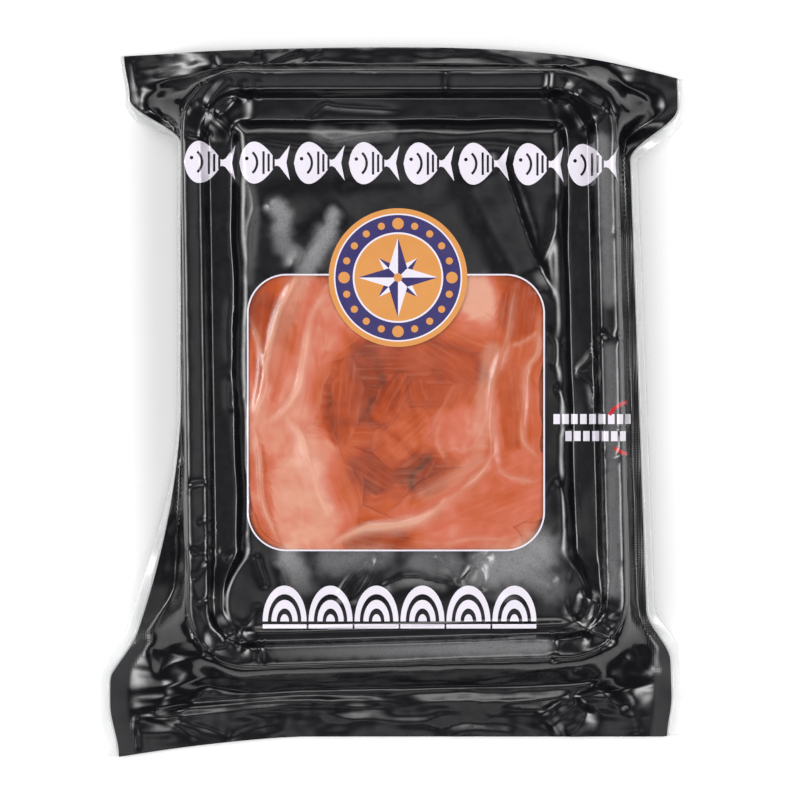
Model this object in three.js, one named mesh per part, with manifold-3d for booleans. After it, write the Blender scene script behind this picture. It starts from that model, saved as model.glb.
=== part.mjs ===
// A vacuum pack of smoked salmon trimmings, lying on its back: a black film pouch drawn tight over
// a shallow tray, with a clear window over the fish. Millimetres, +Z up, +Y towards the pack's top
// seal. The origin is under the middle of the pack, on the surface it lies on.
import * as THREE from "three";
import { mergeVertices } from "three/addons/utils/BufferGeometryUtils.js";
import Module from "manifold-3d";

const wasm = await Module();
wasm.setup();

// Driving dimensions

const TRAY = { x: 2.2, y: 13.6, halfWidth: 70.7, halfLength: 96.7, corner: 17 }; // rim's centreline
// The vacuum pulls the thin tray out of square: how far each of its corners is moved, in x and y
const PULL = {
  topLeft: [-1.2, 0.8],
  bottomLeft: [1.7, -4.7],
  bottomRight: [4.3, -0.9],
  topRight: [-0.3, 0.7],
};
const RIM_HALF_WIDTH = 3.8;
const RIM_HEIGHT = 20; // crest of the rim above the table
const RIM_ROUND = 3; // drop from the crest to the rim's two edges
const MOAT_HEIGHT = 12.6; // film sucked down between the rim and the fish
const MOAT = { outer: -10, inner: -13 }; // its flat bottom, from the rim's centreline inwards
const MOAT_SQUEEZE = 1.1; // how much narrower it is at the pack's lower end, where the fish fills it
const CREST_OFFSET = -17; // where the film comes up on to the fish
const BASE_INSET = 8.5; // the tray's floor is this much smaller than its rim all round
const FILL_HEIGHT = 17; // level of the fish at the crest
const FILL_DOME = 1.7; // the middle stands this much higher
const WINDOW = { x: 0.95, y: -3.4, halfWidth: 51.2, halfLength: 47.6, corner: 13.5 };
const RECESS_FLOOR = 4; // the fish stands in a recess of the pouch down to here
const FILM = 0.5; // the two welded films at the flaps and seams
const WINDOW_FILM = 0.4;
const GAP = 0.35; // between neighbouring pieces
const FISH_GAP = 0.5; // between the fish and the window over it
const SEAM_WIDTH = 3.5; // clear unprinted edge outside the black print
const SEAM_GAP = 0.5;
const FLANGE_HEIGHT = 7.5; // where the films meet close beside the tray
const FLAP_END_HEIGHT = 1.5; // outer edge of the flaps above the table

// Outer edge of the black print, seen from above
const SIDE = { left: 73.8, right: 85.3, rightLean: 0.036 }; // where the film is drawn in by the tray
const ENDS = { top: 123.4, bottom: -116.3 };
const CORNERS = {
  topLeft: [-93.8, 120.7],
  bottomLeft: [-95.6, -123.3],
  bottomRight: [95.1, -116],
  topRight: [99.2, 112.7],
};

// How finely the loops are cut. A loop has an arc at each corner and a straight between two arcs.
const ARC_STEPS = 16; // over a whole corner, even
const LONG_STEPS = 18; // along the left and right
const SHORT_STEPS = 12; // along the top and bottom
const WINDOW_STEPS = 6; // from the window's middle to its edge

// Small helpers

const lerp = THREE.MathUtils.lerp;
const smooth = (x, from, to) => THREE.MathUtils.smoothstep(x, from, to);
const bump = (x, centre, width) => Math.exp(-(((x - centre) / width) ** 2));

// A closed loop round a rounded rectangle, counter-clockwise from the middle of the bottom-left
// corner. Loops of different size have matching points, so that they can be joined ring to ring.
function roundedLoop({ x, y, halfWidth, halfLength, corner }, offset = 0, detail = 1) {
  const radius = Math.max(corner + offset, 2);
  const a = halfWidth + offset - radius;
  const b = halfLength + offset - radius;
  const centres = [[-a, -b], [a, -b], [a, b], [-a, b]];
  const half = Math.round((ARC_STEPS * detail) / 2);
  const onCorner = (k, angle) => [
    x + centres[k][0] + radius * Math.cos(angle),
    y + centres[k][1] + radius * Math.sin(angle),
  ];
  return centres.flatMap((_, k) => {
    const next = (k + 1) % 4;
    const middle = Math.PI * (1.25 + k / 2);
    const end = middle + Math.PI / 4;
    const [fromX, fromY] = onCorner(k, end);
    const [toX, toY] = onCorner(next, end);
    const steps = Math.round((k % 2 ? LONG_STEPS : SHORT_STEPS) * detail);
    const points = [];
    for (let i = 0; i < half; i++) points.push(onCorner(k, lerp(middle, end, i / half)));
    for (let i = 0; i < steps; i++) points.push([lerp(fromX, toX, i / steps), lerp(fromY, toY, i / steps)]);
    for (let i = 0; i < half; i++) points.push(onCorner(next, lerp(end, end + Math.PI / 4, i / half)));
    return points;
  });
}

// How far a place on the tray is moved by the pull of the vacuum
function pullAt(x, y) {
  const u = (x - TRAY.x) / TRAY.halfWidth / 2 + 0.5;
  const v = (y - TRAY.y) / TRAY.halfLength / 2 + 0.5;
  return [0, 1].map((axis) => {
    const low = lerp(PULL.bottomLeft[axis], PULL.bottomRight[axis], u);
    const high = lerp(PULL.topLeft[axis], PULL.topRight[axis], u);
    return lerp(low, high, v);
  });
}
function trayLoop(offset) {
  return roundedLoop(TRAY, offset).map(([x, y]) => {
    const [dx, dy] = pullAt(x, y);
    return [x + dx, y + dy];
  });
}

// The two sides are drawn in by the vacuum along the tray and flare out towards the flaps.
function leftEdge(y) {
  const draw = 12 * (Math.min(Math.max(-y, 0), 95) / 70) ** 1.8 + 4 * smooth(-y, 80, 98);
  const top = 18 * smooth(y, 90, 106) + 2 * smooth(y, 106, 121);
  return -(SIDE.left + draw + top - 3 * smooth(-y, 105, 123));
}
function rightEdge(y) {
  const flare = 17.5 * smooth(y, 84, 103) + 8 * smooth(-y, 72, 90) - 2 * smooth(-y, 102, 116);
  return SIDE.right - SIDE.rightLean * y + flare;
}
function topEdge(x) {
  return ENDS.top - (x < 0 ? 2.7 * (x / 93) ** 2 : 10.7 * (x / 99.8) ** 2.6);
}
function bottomEdge(x) {
  return ENDS.bottom - 7 * (Math.max(0, -x - 30) / 65) ** 1.5;
}

// Places along one side of the outline: from one corner to where the tray's straight side starts,
// along it, and on to the next corner, with as many steps as a loop round the tray
function stations(from, to, centre, half, steps) {
  const forward = Math.sign(to - from);
  const stops = [from, centre - forward * half, centre + forward * half, to];
  const counts = [ARC_STEPS / 2, steps, ARC_STEPS / 2];
  return counts.flatMap((count, part) =>
    Array.from({ length: count }, (_, i) => lerp(stops[part], stops[part + 1], i / count)),
  );
}
const alongX = (from, to) =>
  stations(from, to, TRAY.x, TRAY.halfWidth - TRAY.corner, SHORT_STEPS);
const alongY = (from, to) =>
  stations(from, to, TRAY.y, TRAY.halfLength - TRAY.corner, LONG_STEPS);

// The outer edge of the black film, counter-clockwise from the bottom-left corner
function outlineLoop() {
  const { bottomLeft, bottomRight, topRight, topLeft } = CORNERS;
  return [
    ...alongX(bottomLeft[0], bottomRight[0]).map((x) => [x, bottomEdge(x)]),
    ...alongY(bottomRight[1], topRight[1]).map((y) => [rightEdge(y), y]),
    ...alongX(topRight[0], topLeft[0]).map((x) => [x, topEdge(x)]),
    ...alongY(topLeft[1], bottomLeft[1]).map((y) => [leftEdge(y), y]),
  ];
}

// Heights

// Broad folds and slices that show through the film, on top of a gentle dome. Each fold is a ridge
// along a line through (x, y) at an angle, fading out at its ends.
const FOLDS = [
  { x: -36, y: 22, angle: 72, length: 26, width: 5, height: 0.9 },
  { x: -24, y: 8, angle: 82, length: 30, width: 5, height: 0.7 },
  { x: -26, y: -28, angle: 112, length: 24, width: 5, height: 0.8 },
  { x: 16, y: -37, angle: 22, length: 34, width: 5, height: 1 },
  { x: 36, y: 6, angle: 80, length: 34, width: 4, height: 1.1 },
  { x: 46, y: -14, angle: 100, length: 20, width: 3, height: 0.8 },
  { x: -2, y: -8, angle: 60, length: 18, width: 12, height: -1.3 },
  { x: -20, y: 72, angle: 8, length: 40, width: 6, height: 0.5 },
  { x: 34, y: 60, angle: 118, length: 30, width: 5, height: 0.7 },
  { x: -12, y: -56, angle: 20, length: 26, width: 4, height: 0.7 },
  { x: 28, y: -58, angle: -28, length: 22, width: 4, height: 0.7 },
];
function foldHeight(x, y) {
  return FOLDS.reduce((sum, f) => {
    const angle = THREE.MathUtils.degToRad(f.angle);
    const along = (x - f.x) * Math.cos(angle) + (y - f.y) * Math.sin(angle);
    const across = (y - f.y) * Math.cos(angle) - (x - f.x) * Math.sin(angle);
    return sum + f.height * bump(along, 0, f.length) * bump(across, 0, f.width);
  }, 0);
}
function fillHeight(x, y) {
  const dome = Math.max(0, 1 - (x / 60) ** 2) * Math.max(0, 1 - ((y - TRAY.y) / 88) ** 2);
  return FILL_HEIGHT + FILL_DOME * dome + foldHeight(x, y);
}

// Height of the pouch over the tray at a distance from the rim's centreline, inwards negative
function trayHeight(x, y, offset) {
  if (Math.abs(offset) <= RIM_HALF_WIDTH) {
    const round = RIM_ROUND * (1 - Math.cbrt(1 - Math.abs(offset / RIM_HALF_WIDTH) ** 3));
    return RIM_HEIGHT - round;
  }
  const rimEdge = RIM_HEIGHT - RIM_ROUND;
  const lowEnd = smooth(-y, 50, 68);
  const inner = -RIM_HALF_WIDTH + (offset + RIM_HALF_WIDTH) * (1 + MOAT_SQUEEZE * lowEnd);
  const moat = lerp(MOAT_HEIGHT, 15, lowEnd);
  if (inner > MOAT.inner) {
    return lerp(rimEdge, moat, Math.min(1, (inner + RIM_HALF_WIDTH) / (MOAT.outer + RIM_HALF_WIDTH)));
  }
  return lerp(fillHeight(x, y), moat, smooth(inner, CREST_OFFSET, MOAT.inner));
}

// Distance outside the outer edge of the rim
function beyondRim(x, y) {
  const [pullX, pullY] = pullAt(x, y);
  const dx = Math.abs(x - pullX - TRAY.x) - TRAY.halfWidth + TRAY.corner;
  const dy = Math.abs(y - pullY - TRAY.y) - TRAY.halfLength + TRAY.corner;
  return Math.hypot(Math.max(dx, 0), Math.max(dy, 0)) - TRAY.corner - RIM_HALF_WIDTH;
}

// Height of the flap at a share of the way from the rim (0) to the film's outer edge at (ex, ey).
// Where the edge is close to the tray it stays at half height, and far from it it lies down. The
// top flap slopes all the way, and the others drop close to the tray.
function flapHeight(x, y, share, ex, ey) {
  const rimEdge = RIM_HEIGHT - RIM_ROUND;
  const lie = smooth(beyondRim(ex, ey), 3, 20);
  const end = lerp(FLANGE_HEIGHT, FLAP_END_HEIGHT, lie);
  const top = smooth(ey, 108, 116);
  const drop = lerp(smooth(share, 0, 0.62), smooth(share, -0.3, 1.05), top);
  const side = smooth(Math.abs(x - TRAY.x), TRAY.halfWidth - 6, TRAY.halfWidth + 12);
  const ripple = 0.6 * Math.sin(y / 5.5 + x / 17) * side + 0.5 * Math.sin(x / 9 + 2) * (1 - side);
  const seal = y < TRAY.y - TRAY.halfLength ? 0.6 * bump(share, 0.6, 0.06) : 0;
  return lerp(rimEdge, end, drop) + ripple * bump(share, 0.65, 0.25) - seal;
}

// Solids from rings

// One closed solid from matching rings, each a list of [x, y, z] that runs counter-clockwise seen
// from above. They go from the middle of the top outwards and on under the solid. The first and
// last ring are filled with a fan about their middle.
function solidFromRings(rings) {
  const count = rings[0].length;
  const vertices = rings.flat();
  const middle = (ring) => ring.reduce((m, p) => m.map((v, i) => v + p[i] / count), [0, 0, 0]);
  const first = vertices.push(middle(rings[0])) - 1;
  const last = vertices.push(middle(rings.at(-1))) - 1;
  const faces = [];
  for (let r = 0; r + 1 < rings.length; r++)
    for (let i = 0; i < count; i++) {
      const a = r * count + i;
      const b = r * count + ((i + 1) % count);
      faces.push(a, a + count, b, b, a + count, b + count);
    }
  for (let i = 0; i < count; i++) {
    const j = (i + 1) % count;
    faces.push(first, i, j);
    const end = (rings.length - 1) * count;
    faces.push(last, end + j, end + i);
  }
  return geometryOf(vertices.flat(), faces);
}
function geometryOf(positions, index) {
  const geometry = new THREE.BufferGeometry();
  geometry.setAttribute("position", new THREE.Float32BufferAttribute(positions, 3));
  geometry.setIndex(index);
  geometry.computeVertexNormals();
  return geometry;
}

// Manifold solids

function solidOf(geometry) {
  const bare = geometry.clone();
  bare.deleteAttribute("normal");
  bare.deleteAttribute("uv");
  const merged = mergeVertices(bare, 1e-4);
  return new wasm.Manifold(
    new wasm.Mesh({
      numProp: 3,
      vertProperties: merged.attributes.position.array,
      triVerts: new Uint32Array(merged.index.array),
    }),
  );
}
function geometryOfSolid(solid) {
  const { vertProperties, triVerts } = solid.getMesh();
  return geometryOf(Array.from(vertProperties), Array.from(triVerts));
}

// The pouch

// Rings over the top run from the window outwards, then under the flaps and the tray to its floor.
function pouchGeometry() {
  const window = roundedLoop(WINDOW);
  const crest = trayLoop(CREST_OFFSET);
  const wallTop = trayLoop(RIM_HALF_WIDTH + 0.2);
  const outline = outlineLoop();
  const rings = [];
  rings.push(window.map(([x, y]) => [x, y, RECESS_FLOOR]));
  for (const share of [0, 0.3, 0.6, 0.85])
    rings.push(
      window.map(([x, y], i) => {
        const px = lerp(x, crest[i][0], share);
        const py = lerp(y, crest[i][1], share);
        return [px, py, fillHeight(px, py)];
      }),
    );
  for (const offset of [-17, -15.5, -14, -13, -10, -8, -6, -3.8, -3.3, -2.4, 0, 2.4, 3.3, 3.8])
    rings.push(trayLoop(offset).map(([x, y]) => [x, y, trayHeight(x, y, offset)]));
  for (const share of [0.1, 0.22, 0.38, 0.55, 0.6, 0.65, 0.83, 1])
    rings.push(
      wallTop.map(([x, y], i) => {
        const px = lerp(x, outline[i][0], share);
        const py = lerp(y, outline[i][1], share);
        return [px, py, flapHeight(px, py, share, ...outline[i])];
      }),
    );
  const under = rings.slice(-8);
  for (const k of [7, 5, 3, 2]) rings.push(under[k].map(([x, y, z]) => [x, y, z - FILM]));
  rings.push(trayLoop(-BASE_INSET + 3).map(([x, y]) => [x, y, 0.9]));
  rings.push(trayLoop(-BASE_INSET).map(([x, y]) => [x, y, 0]));
  return solidFromRings(rings);
}

// The clear edges of the film

// A thin strip outside a side of the black film. It turns down where the film is drawn close to
// the tray's wall and at the top flap's ends.
function seamGeometry(side) {
  const isLeft = side === "left";
  const [low, high] = isLeft
    ? [CORNERS.bottomLeft[1], CORNERS.topLeft[1]]
    : [CORNERS.bottomRight[1], CORNERS.topRight[1]];
  const edgeAt = isLeft ? leftEdge : rightEdge;
  const outward = isLeft ? -1 : 1;
  const rings = [...alongY(low, high), high].map((y) => {
    const x = edgeAt(y);
    const slope = (edgeAt(y + 1) - edgeAt(y - 1)) / 2;
    const tucked = isLeft ? 1.25 : 0.9;
    const flat = smooth(beyondRim(x, y), 2, 15) * (1 - smooth(y, 96, 108));
    const droop = lerp(tucked, 0.1, flat);
    const sideways = Math.cos(droop) / Math.hypot(1, slope);
    const way = [outward * sideways, -outward * slope * sideways, -Math.sin(droop)];
    const edge = [x, y, flapHeight(x, y, 1, x, y) - FILM];
    const out = (distance) => edge.map((v, axis) => v + way[axis] * distance);
    const near = out(SEAM_GAP);
    const far = out(SEAM_GAP + SEAM_WIDTH);
    far[2] = Math.max(far[2], 0.3);
    const raised = ([px, py, pz]) => [
      px + outward * Math.sin(droop) * FILM,
      py,
      pz + Math.cos(droop) * FILM,
    ];
    return [near, far, raised(far), raised(near)];
  });
  return solidFromRings(isLeft ? rings.reverse() : rings);
}

// The clear window

// Rings from the middle of the window to its edge, at a height given by a function of the place
const windowEdge = roundedLoop(WINDOW, -GAP, 0.5);
function windowRings(height) {
  return Array.from({ length: WINDOW_STEPS }, (_, step) => {
    const share = ((step + 1) / WINDOW_STEPS) ** 0.7;
    return windowEdge.map(([x, y]) => {
      const px = lerp(WINDOW.x, x, share);
      const py = lerp(WINDOW.y, y, share);
      return [px, py, height(px, py)];
    });
  });
}
function windowFilmGeometry() {
  const top = windowRings(fillHeight);
  const bottom = windowRings((x, y) => fillHeight(x, y) - WINDOW_FILM);
  return solidFromRings([...top, ...bottom.reverse()]);
}

// The fish

// One piece of trimmed salmon: a soft-edged slab, longer than it is wide and curved along its length
function sliceSolid({ x, y, z, length, width, thickness, turn, tilt = 0, curl = 0 }) {
  const geometry = new THREE.SphereGeometry(0.5, 11, 7);
  const position = geometry.attributes.position;
  const p = new THREE.Vector3();
  const soften = (v, power) => 0.5 * Math.sign(v) * Math.abs(2 * v) ** power;
  for (let i = 0; i < position.count; i++) {
    p.fromBufferAttribute(position, i);
    const bend = curl * (p.x * p.x * 4 - 0.4);
    const across = soften(p.y, 0.8) * width + bend;
    position.setXYZ(i, soften(p.x, 0.8) * length, across, soften(p.z, 0.7) * thickness);
  }
  geometry.rotateY(THREE.MathUtils.degToRad(tilt));
  geometry.rotateZ(THREE.MathUtils.degToRad(turn));
  geometry.translate(x, y, z);
  return solidOf(geometry);
}
const SLICES = [
  { x: -36, y: 12, z: 15.5, length: 66, width: 22, thickness: 6, turn: 78, curl: 4 },
  { x: -18, y: 26, z: 15.8, length: 46, width: 20, thickness: 6, turn: 35, curl: -3 },
  { x: -27, y: -28, z: 15.4, length: 46, width: 26, thickness: 6, turn: 112, curl: 4 },
  { x: 3, y: -41, z: 15, length: 74, width: 18, thickness: 6, turn: 6, curl: 5 },
  { x: 25, y: -32, z: 16, length: 62, width: 22, thickness: 5.5, turn: 24, curl: -4 },
  { x: 43, y: 8, z: 15.5, length: 70, width: 16, thickness: 6, turn: 84, curl: -3 },
  { x: 22, y: 30, z: 15.6, length: 52, width: 24, thickness: 6, turn: 160, curl: 4 },
  { x: 28, y: 8, z: 15.8, length: 44, width: 20, thickness: 5.5, turn: 66, curl: 3 },
  { x: -8, y: 4, z: 14.4, length: 26, width: 11, thickness: 7, turn: 74, tilt: 10 },
  { x: 4, y: 6, z: 14.2, length: 28, width: 12, thickness: 7, turn: 98, tilt: -8 },
  { x: 12, y: -6, z: 14.2, length: 24, width: 11, thickness: 7, turn: 130, tilt: 6 },
  { x: 0, y: -14, z: 14.5, length: 22, width: 12, thickness: 7, turn: 20, tilt: -6 },
  { x: -12, y: -20, z: 14.8, length: 24, width: 14, thickness: 6, turn: -24, tilt: 8 },
  { x: 13, y: -20, z: 14.7, length: 24, width: 12, thickness: 6, turn: 58, tilt: 4 },
];
const CORE_TOP = 14.2; // the pressed fish below the slices that show
// The slices lie on the core and are pressed flat by the window above them.
function trimmingsGeometry() {
  const level = (z) => windowEdge.map(([x, y]) => [x, y, z]);
  const core = solidOf(solidFromRings([level(CORE_TOP), level(RECESS_FLOOR + GAP)]));
  const underFilm = windowRings((x, y) => fillHeight(x, y) - WINDOW_FILM - FISH_GAP);
  const room = solidOf(solidFromRings([...underFilm, level(RECESS_FLOOR + GAP)]));
  const heap = SLICES.reduce((sum, slice) => sum.add(sliceSolid(slice)), core);
  return geometryOfSolid(heap.intersect(room));
}

// Assembly

const black = new THREE.MeshStandardMaterial({ color: 0x141416, roughness: 0.22, metalness: 0 });
const clear = new THREE.MeshStandardMaterial({ color: 0xf2f4f5, roughness: 0.12, metalness: 0 });
clear.transparent = true;
clear.opacity = 0.3;
const salmon = new THREE.MeshStandardMaterial({ color: 0xd9714f, roughness: 0.45, metalness: 0 });

function piece(name, geometry, material) {
  const mesh = new THREE.Mesh(geometry, material);
  mesh.name = name;
  return mesh;
}

const pack = new THREE.Group();
pack.add(
  piece("pouch", pouchGeometry(), black),
  piece("seam_left", seamGeometry("left"), clear),
  piece("seam_right", seamGeometry("right"), clear),
  piece("window_film", windowFilmGeometry(), clear),
  piece("salmon_trimmings", trimmingsGeometry(), salmon),
);

export default pack;
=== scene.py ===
"""Looks for a vacuum pack of smoked salmon trimmings that lies on its back.

One black printed film is drawn tight over a shallow tray with a raised rim. It wrinkles at the
corners and round the fish, which shows through a clear window, and it lies in flat welded flaps at
both ends. Sizes below are in millimetres, +Y towards the pack's top flap, +Z up.
"""

import math

import bpy
import numpy as np
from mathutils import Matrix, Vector, geometry, noise


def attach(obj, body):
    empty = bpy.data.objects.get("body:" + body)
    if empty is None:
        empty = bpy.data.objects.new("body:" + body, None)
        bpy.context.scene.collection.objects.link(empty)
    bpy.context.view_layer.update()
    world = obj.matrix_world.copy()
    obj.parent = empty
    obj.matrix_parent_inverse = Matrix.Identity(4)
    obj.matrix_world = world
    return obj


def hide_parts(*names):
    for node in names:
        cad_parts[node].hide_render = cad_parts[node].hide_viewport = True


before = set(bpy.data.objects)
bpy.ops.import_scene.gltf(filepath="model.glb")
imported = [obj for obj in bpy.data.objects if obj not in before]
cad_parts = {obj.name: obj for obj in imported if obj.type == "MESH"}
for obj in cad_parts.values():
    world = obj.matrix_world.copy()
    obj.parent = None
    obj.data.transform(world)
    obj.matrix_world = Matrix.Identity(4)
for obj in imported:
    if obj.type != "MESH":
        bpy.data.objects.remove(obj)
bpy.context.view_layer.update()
MM = 0.001

# The photo's scale: where a pixel of the 800 x 800 photo lies on the pack
MM_PER_PIXEL = 0.346
PACK_CENTRE_PIXEL = (393.2, 402.7)
PHOTO_CENTRE_PIXEL = 400

# The tray, the window and the pack's outline, as the solids have them
TRAY = {"x": 2.2, "y": 13.6, "half_width": 70.7, "half_length": 96.7, "corner": 17}
# How far the vacuum pulls each corner of the tray out of square
PULL_TOP_LEFT = (-1.2, 0.8)
PULL_BOTTOM_LEFT = (1.7, -4.7)
PULL_BOTTOM_RIGHT = (4.3, -0.9)
PULL_TOP_RIGHT = (-0.3, 0.7)
WINDOW = {"x": 0.95, "y": -3.4, "half_width": 51.2, "half_length": 47.6, "corner": 13.5}
RIM_HALF_WIDTH = 3.8
RIM_HEIGHT = 20
RECESS_FLOOR = 4
SIDE_LEFT = 73.8
SIDE_RIGHT = 85.3
SIDE_RIGHT_LEAN = 0.036
END_TOP = 123.4
END_BOTTOM = -116.3
TOP_LEFT = (-93.8, 120.7)
BOTTOM_LEFT = (-95.6, -123.3)
BOTTOM_RIGHT = (95.1, -116)
TOP_RIGHT = (99.2, 112.7)

# The film's form between them. A place across the rim and the moat is a distance from the rim's
# centreline, negative inwards.
RIM_ROUND = 3
RIM_LEAN = 0.1  # slope of the rim's top where it faces outwards
MOAT_HEIGHT = 12.6
LOW_MOAT_HEIGHT = 15  # at the tray's low end
MOAT_OUTER = -12.4
WALL_FOOT = -5.6
WALL_FOOT_DROP = 0.78  # share of the way down to the moat that the film has come there
MOAT_INNER = -12.6
MOAT_SQUEEZE = 1.1  # how much narrower the moat is at the low end
MOAT_WANDER = 1.7
CREST_OFFSET = -18.5
CREST_POWER = 2.2  # how early the film over the fish turns flat
FOOT_ROUND = 0.22
FILL_HEIGHT = 16.1
FILL_DOME = 1.7
FLANGE_HEIGHT = 7.5
FLAP_END_HEIGHT = 1.5
SEAL_DEPTH = 0.4  # of the line that seals the bottom flap
STREAK_DEPTH = 0.42  # of the flaps' long streaks
HIGHEST_FLAT = 19  # above it the film's height levels off, to stay under RIM_HEIGHT
LOWEST_FILM = 0.6
WINDOW_GAP = -0.35  # the clear film ends this far inside the opening of the solids
KEYLINE_OUTER = 0.2  # outer edge of the white line round the window
SEAM_WIDTH = 3.5
SEAM_GAP = 0.5
SEAM_COLUMNS = 6
SEAM_THICKNESS = 0.25

# How finely the film is cut
FILM_STEP = 0.95  # between points on plain film
CREASE_STEP = 0.75  # between points along a crease
HALF_ARC_STEPS = 40  # from a corner of the outline to the tray's straight side
SHORT_STEPS = 140
LONG_STEPS = 200
WINDOW_EDGE_STEPS = (14, 110, 100)
NARROWEST_CREASE = 1.45
WIDEST_CREASE = 3.5  # a wider one is smooth enough for the points of plain film
# Loops of points round the rim and along the moat, in the order in which they are taken
RIM_LOOPS = (3.8, -3.8, 3.3, -3.3, 2.7, -2.7, 1.8, -1.8, 4.4, 5.1, 5.9, -4.3, -5, -5.6, -6.2, -7)
MOAT_LOOP_ROUNDS = 8
MOAT_LOOPS = (-12.6, -13.05, -12.2, -13.5, -14.1, -14.9, -15.8, -17, -18.3)
CREASE_GAP = 0.42  # between a crease's points and those taken before
RIM_GAP = 0.4
MOAT_GAP = 0.38
PLAIN_GAP = 0.62
SAME_POINT = 0.002  # points nearer than this are joined
ON_FILM = 0.02  # a vertex this near to the front film's height belongs to it
EDGE_ROUND = 1.2
BACK_FILM = 0.4  # the back film lies this far under the front film


# Small helpers


def smooth(x, start, end):
    """0 up to start and 1 from end on, with an even change between them"""
    t = np.clip((x - start) / (end - start), 0, 1)
    return t * t * (3 - 2 * t)


def lerp(a, b, t):
    """The value that lies a share t of the way from a to b"""
    return a + (b - a) * t


def bump(x, centre, width):
    """1 at the centre, fading away on both sides"""
    return np.exp(-(((x - centre) / width) ** 2))


def from_photo(px, py):
    """Place on the pack of a pixel of the photo"""
    x = (np.asarray(px, float) - PACK_CENTRE_PIXEL[0]) * MM_PER_PIXEL
    y = (PACK_CENTRE_PIXEL[1] - np.asarray(py, float)) * MM_PER_PIXEL
    return x, y


def ring(flat, height):
    """Points in space from places on the plan, at one height or each at its own"""
    return np.column_stack([flat, np.full(len(flat), height)])


def turned(x, y, angle):
    """Lengths along and across a direction at this angle in degrees"""
    c = math.cos(math.radians(angle))
    s = math.sin(math.radians(angle))
    return x * c + y * s, y * c - x * s


def within(x, y, points, reach=0.0):
    """Whether each place lies in the box round some points, or this near to it"""
    low, high = points.min(0) - reach, points.max(0) + reach
    return (x > low[0]) & (x < high[0]) & (y > low[1]) & (y < high[1])


def wander(x, y, size, seed):
    """Smooth random values round 0, which change over a distance of size"""
    return np.array([noise.noise((a / size, b / size, seed)) for a, b in zip(x, y)])


def srgb(code):
    """Linear colour of an sRGB hex code"""
    parts = [int(code[i : i + 2], 16) / 255 for i in (1, 3, 5)]
    return [p / 12.92 if p <= 0.04045 else ((p + 0.055) / 1.055) ** 2.4 for p in parts] + [1.0]


# Outlines


def left_edge(y):
    """The print's left edge bows out towards the low end and flares at the top flap"""
    draw = 12 * (np.clip(-y, 0, 95) / 70) ** 1.8 + 4 * smooth(-y, 80, 98)
    top = 18 * smooth(y, 90, 106) + 2 * smooth(y, 106, 121)
    return -(SIDE_LEFT + draw + top - 3 * smooth(-y, 105, 123))


def right_edge(y):
    """The right edge leans out towards the low end and flares at both flaps"""
    flare = 17.5 * smooth(y, 84, 103) + 8 * smooth(-y, 72, 90) - 2 * smooth(-y, 102, 116)
    return SIDE_RIGHT - SIDE_RIGHT_LEAN * y + flare


def top_edge(x):
    """The top edge drops towards its ends, most at the right"""
    left = 2.7 * (np.minimum(x, 0) / 93) ** 2
    right = 10.7 * (np.maximum(x, 0) / 99.8) ** 2.6
    return END_TOP - left - right


def bottom_edge(x):
    """The bottom edge drops towards its left end"""
    return END_BOTTOM - 7 * (np.maximum(0, -x - 30) / 65) ** 1.5


def stations(start, end, middle, half, steps):
    """Places along one side of the outline, with as many steps as a loop round the tray has"""
    straight = math.copysign(TRAY[half] - TRAY["corner"], end - start)
    stops = [start, TRAY[middle] - straight, TRAY[middle] + straight, end]
    counts = [HALF_ARC_STEPS, steps, HALF_ARC_STEPS]
    parts = [np.linspace(*stops[k : k + 2], counts[k], endpoint=False) for k in range(3)]
    return np.concatenate(parts)


def along_x(start, end):
    return stations(start, end, "x", "half_width", SHORT_STEPS)


def along_y(start, end):
    return stations(start, end, "y", "half_length", LONG_STEPS)


def outline_loop():
    """Outer edge of the black print, counter-clockwise from the bottom-left corner"""
    bottom = along_x(BOTTOM_LEFT[0], BOTTOM_RIGHT[0])
    right = along_y(BOTTOM_RIGHT[1], TOP_RIGHT[1])
    top = along_x(TOP_RIGHT[0], TOP_LEFT[0])
    left = along_y(TOP_LEFT[1], BOTTOM_LEFT[1])
    across = [bottom, right_edge(right), top, left_edge(left)]
    up = [bottom_edge(bottom), right, top_edge(top), left]
    return np.column_stack([np.concatenate(across), np.concatenate(up)])


def rounded_loop(box, offset=0.0, arc=HALF_ARC_STEPS, short=SHORT_STEPS, long=LONG_STEPS):
    """Loop round a rounded rectangle, counter-clockwise from the middle of its bottom-left corner"""
    radius = max(box["corner"] + offset, 1)
    a = box["half_width"] + offset - radius
    b = box["half_length"] + offset - radius
    centres = np.array([[-a, -b], [a, -b], [a, b], [-a, b]])

    def on_corner(k, angle):
        return centres[k % 4] + radius * np.column_stack([np.cos(angle), np.sin(angle)])

    parts = []
    share = np.arange(arc) / arc
    for k in range(4):
        middle = math.pi * (1.25 + k / 2)
        end = middle + math.pi / 4
        parts.append(on_corner(k, lerp(middle, end, share)))
        steps = long if k % 2 else short
        ends = [on_corner(corner, np.array([end])) for corner in (k, k + 1)]
        parts.append(lerp(*ends, np.arange(steps)[:, None] / steps))
        parts.append(on_corner(k + 1, lerp(end, end + math.pi / 4, share)))
    return np.concatenate(parts) + [box["x"], box["y"]]


def box_distance(box, x, y):
    """Distance outside a rounded rectangle, negative inside"""
    dx = np.abs(x - box["x"]) - box["half_width"] + box["corner"]
    dy = np.abs(y - box["y"]) - box["half_length"] + box["corner"]
    outside = np.hypot(np.maximum(dx, 0), np.maximum(dy, 0))
    return outside + np.minimum(np.maximum(dx, dy), 0) - box["corner"]


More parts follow.
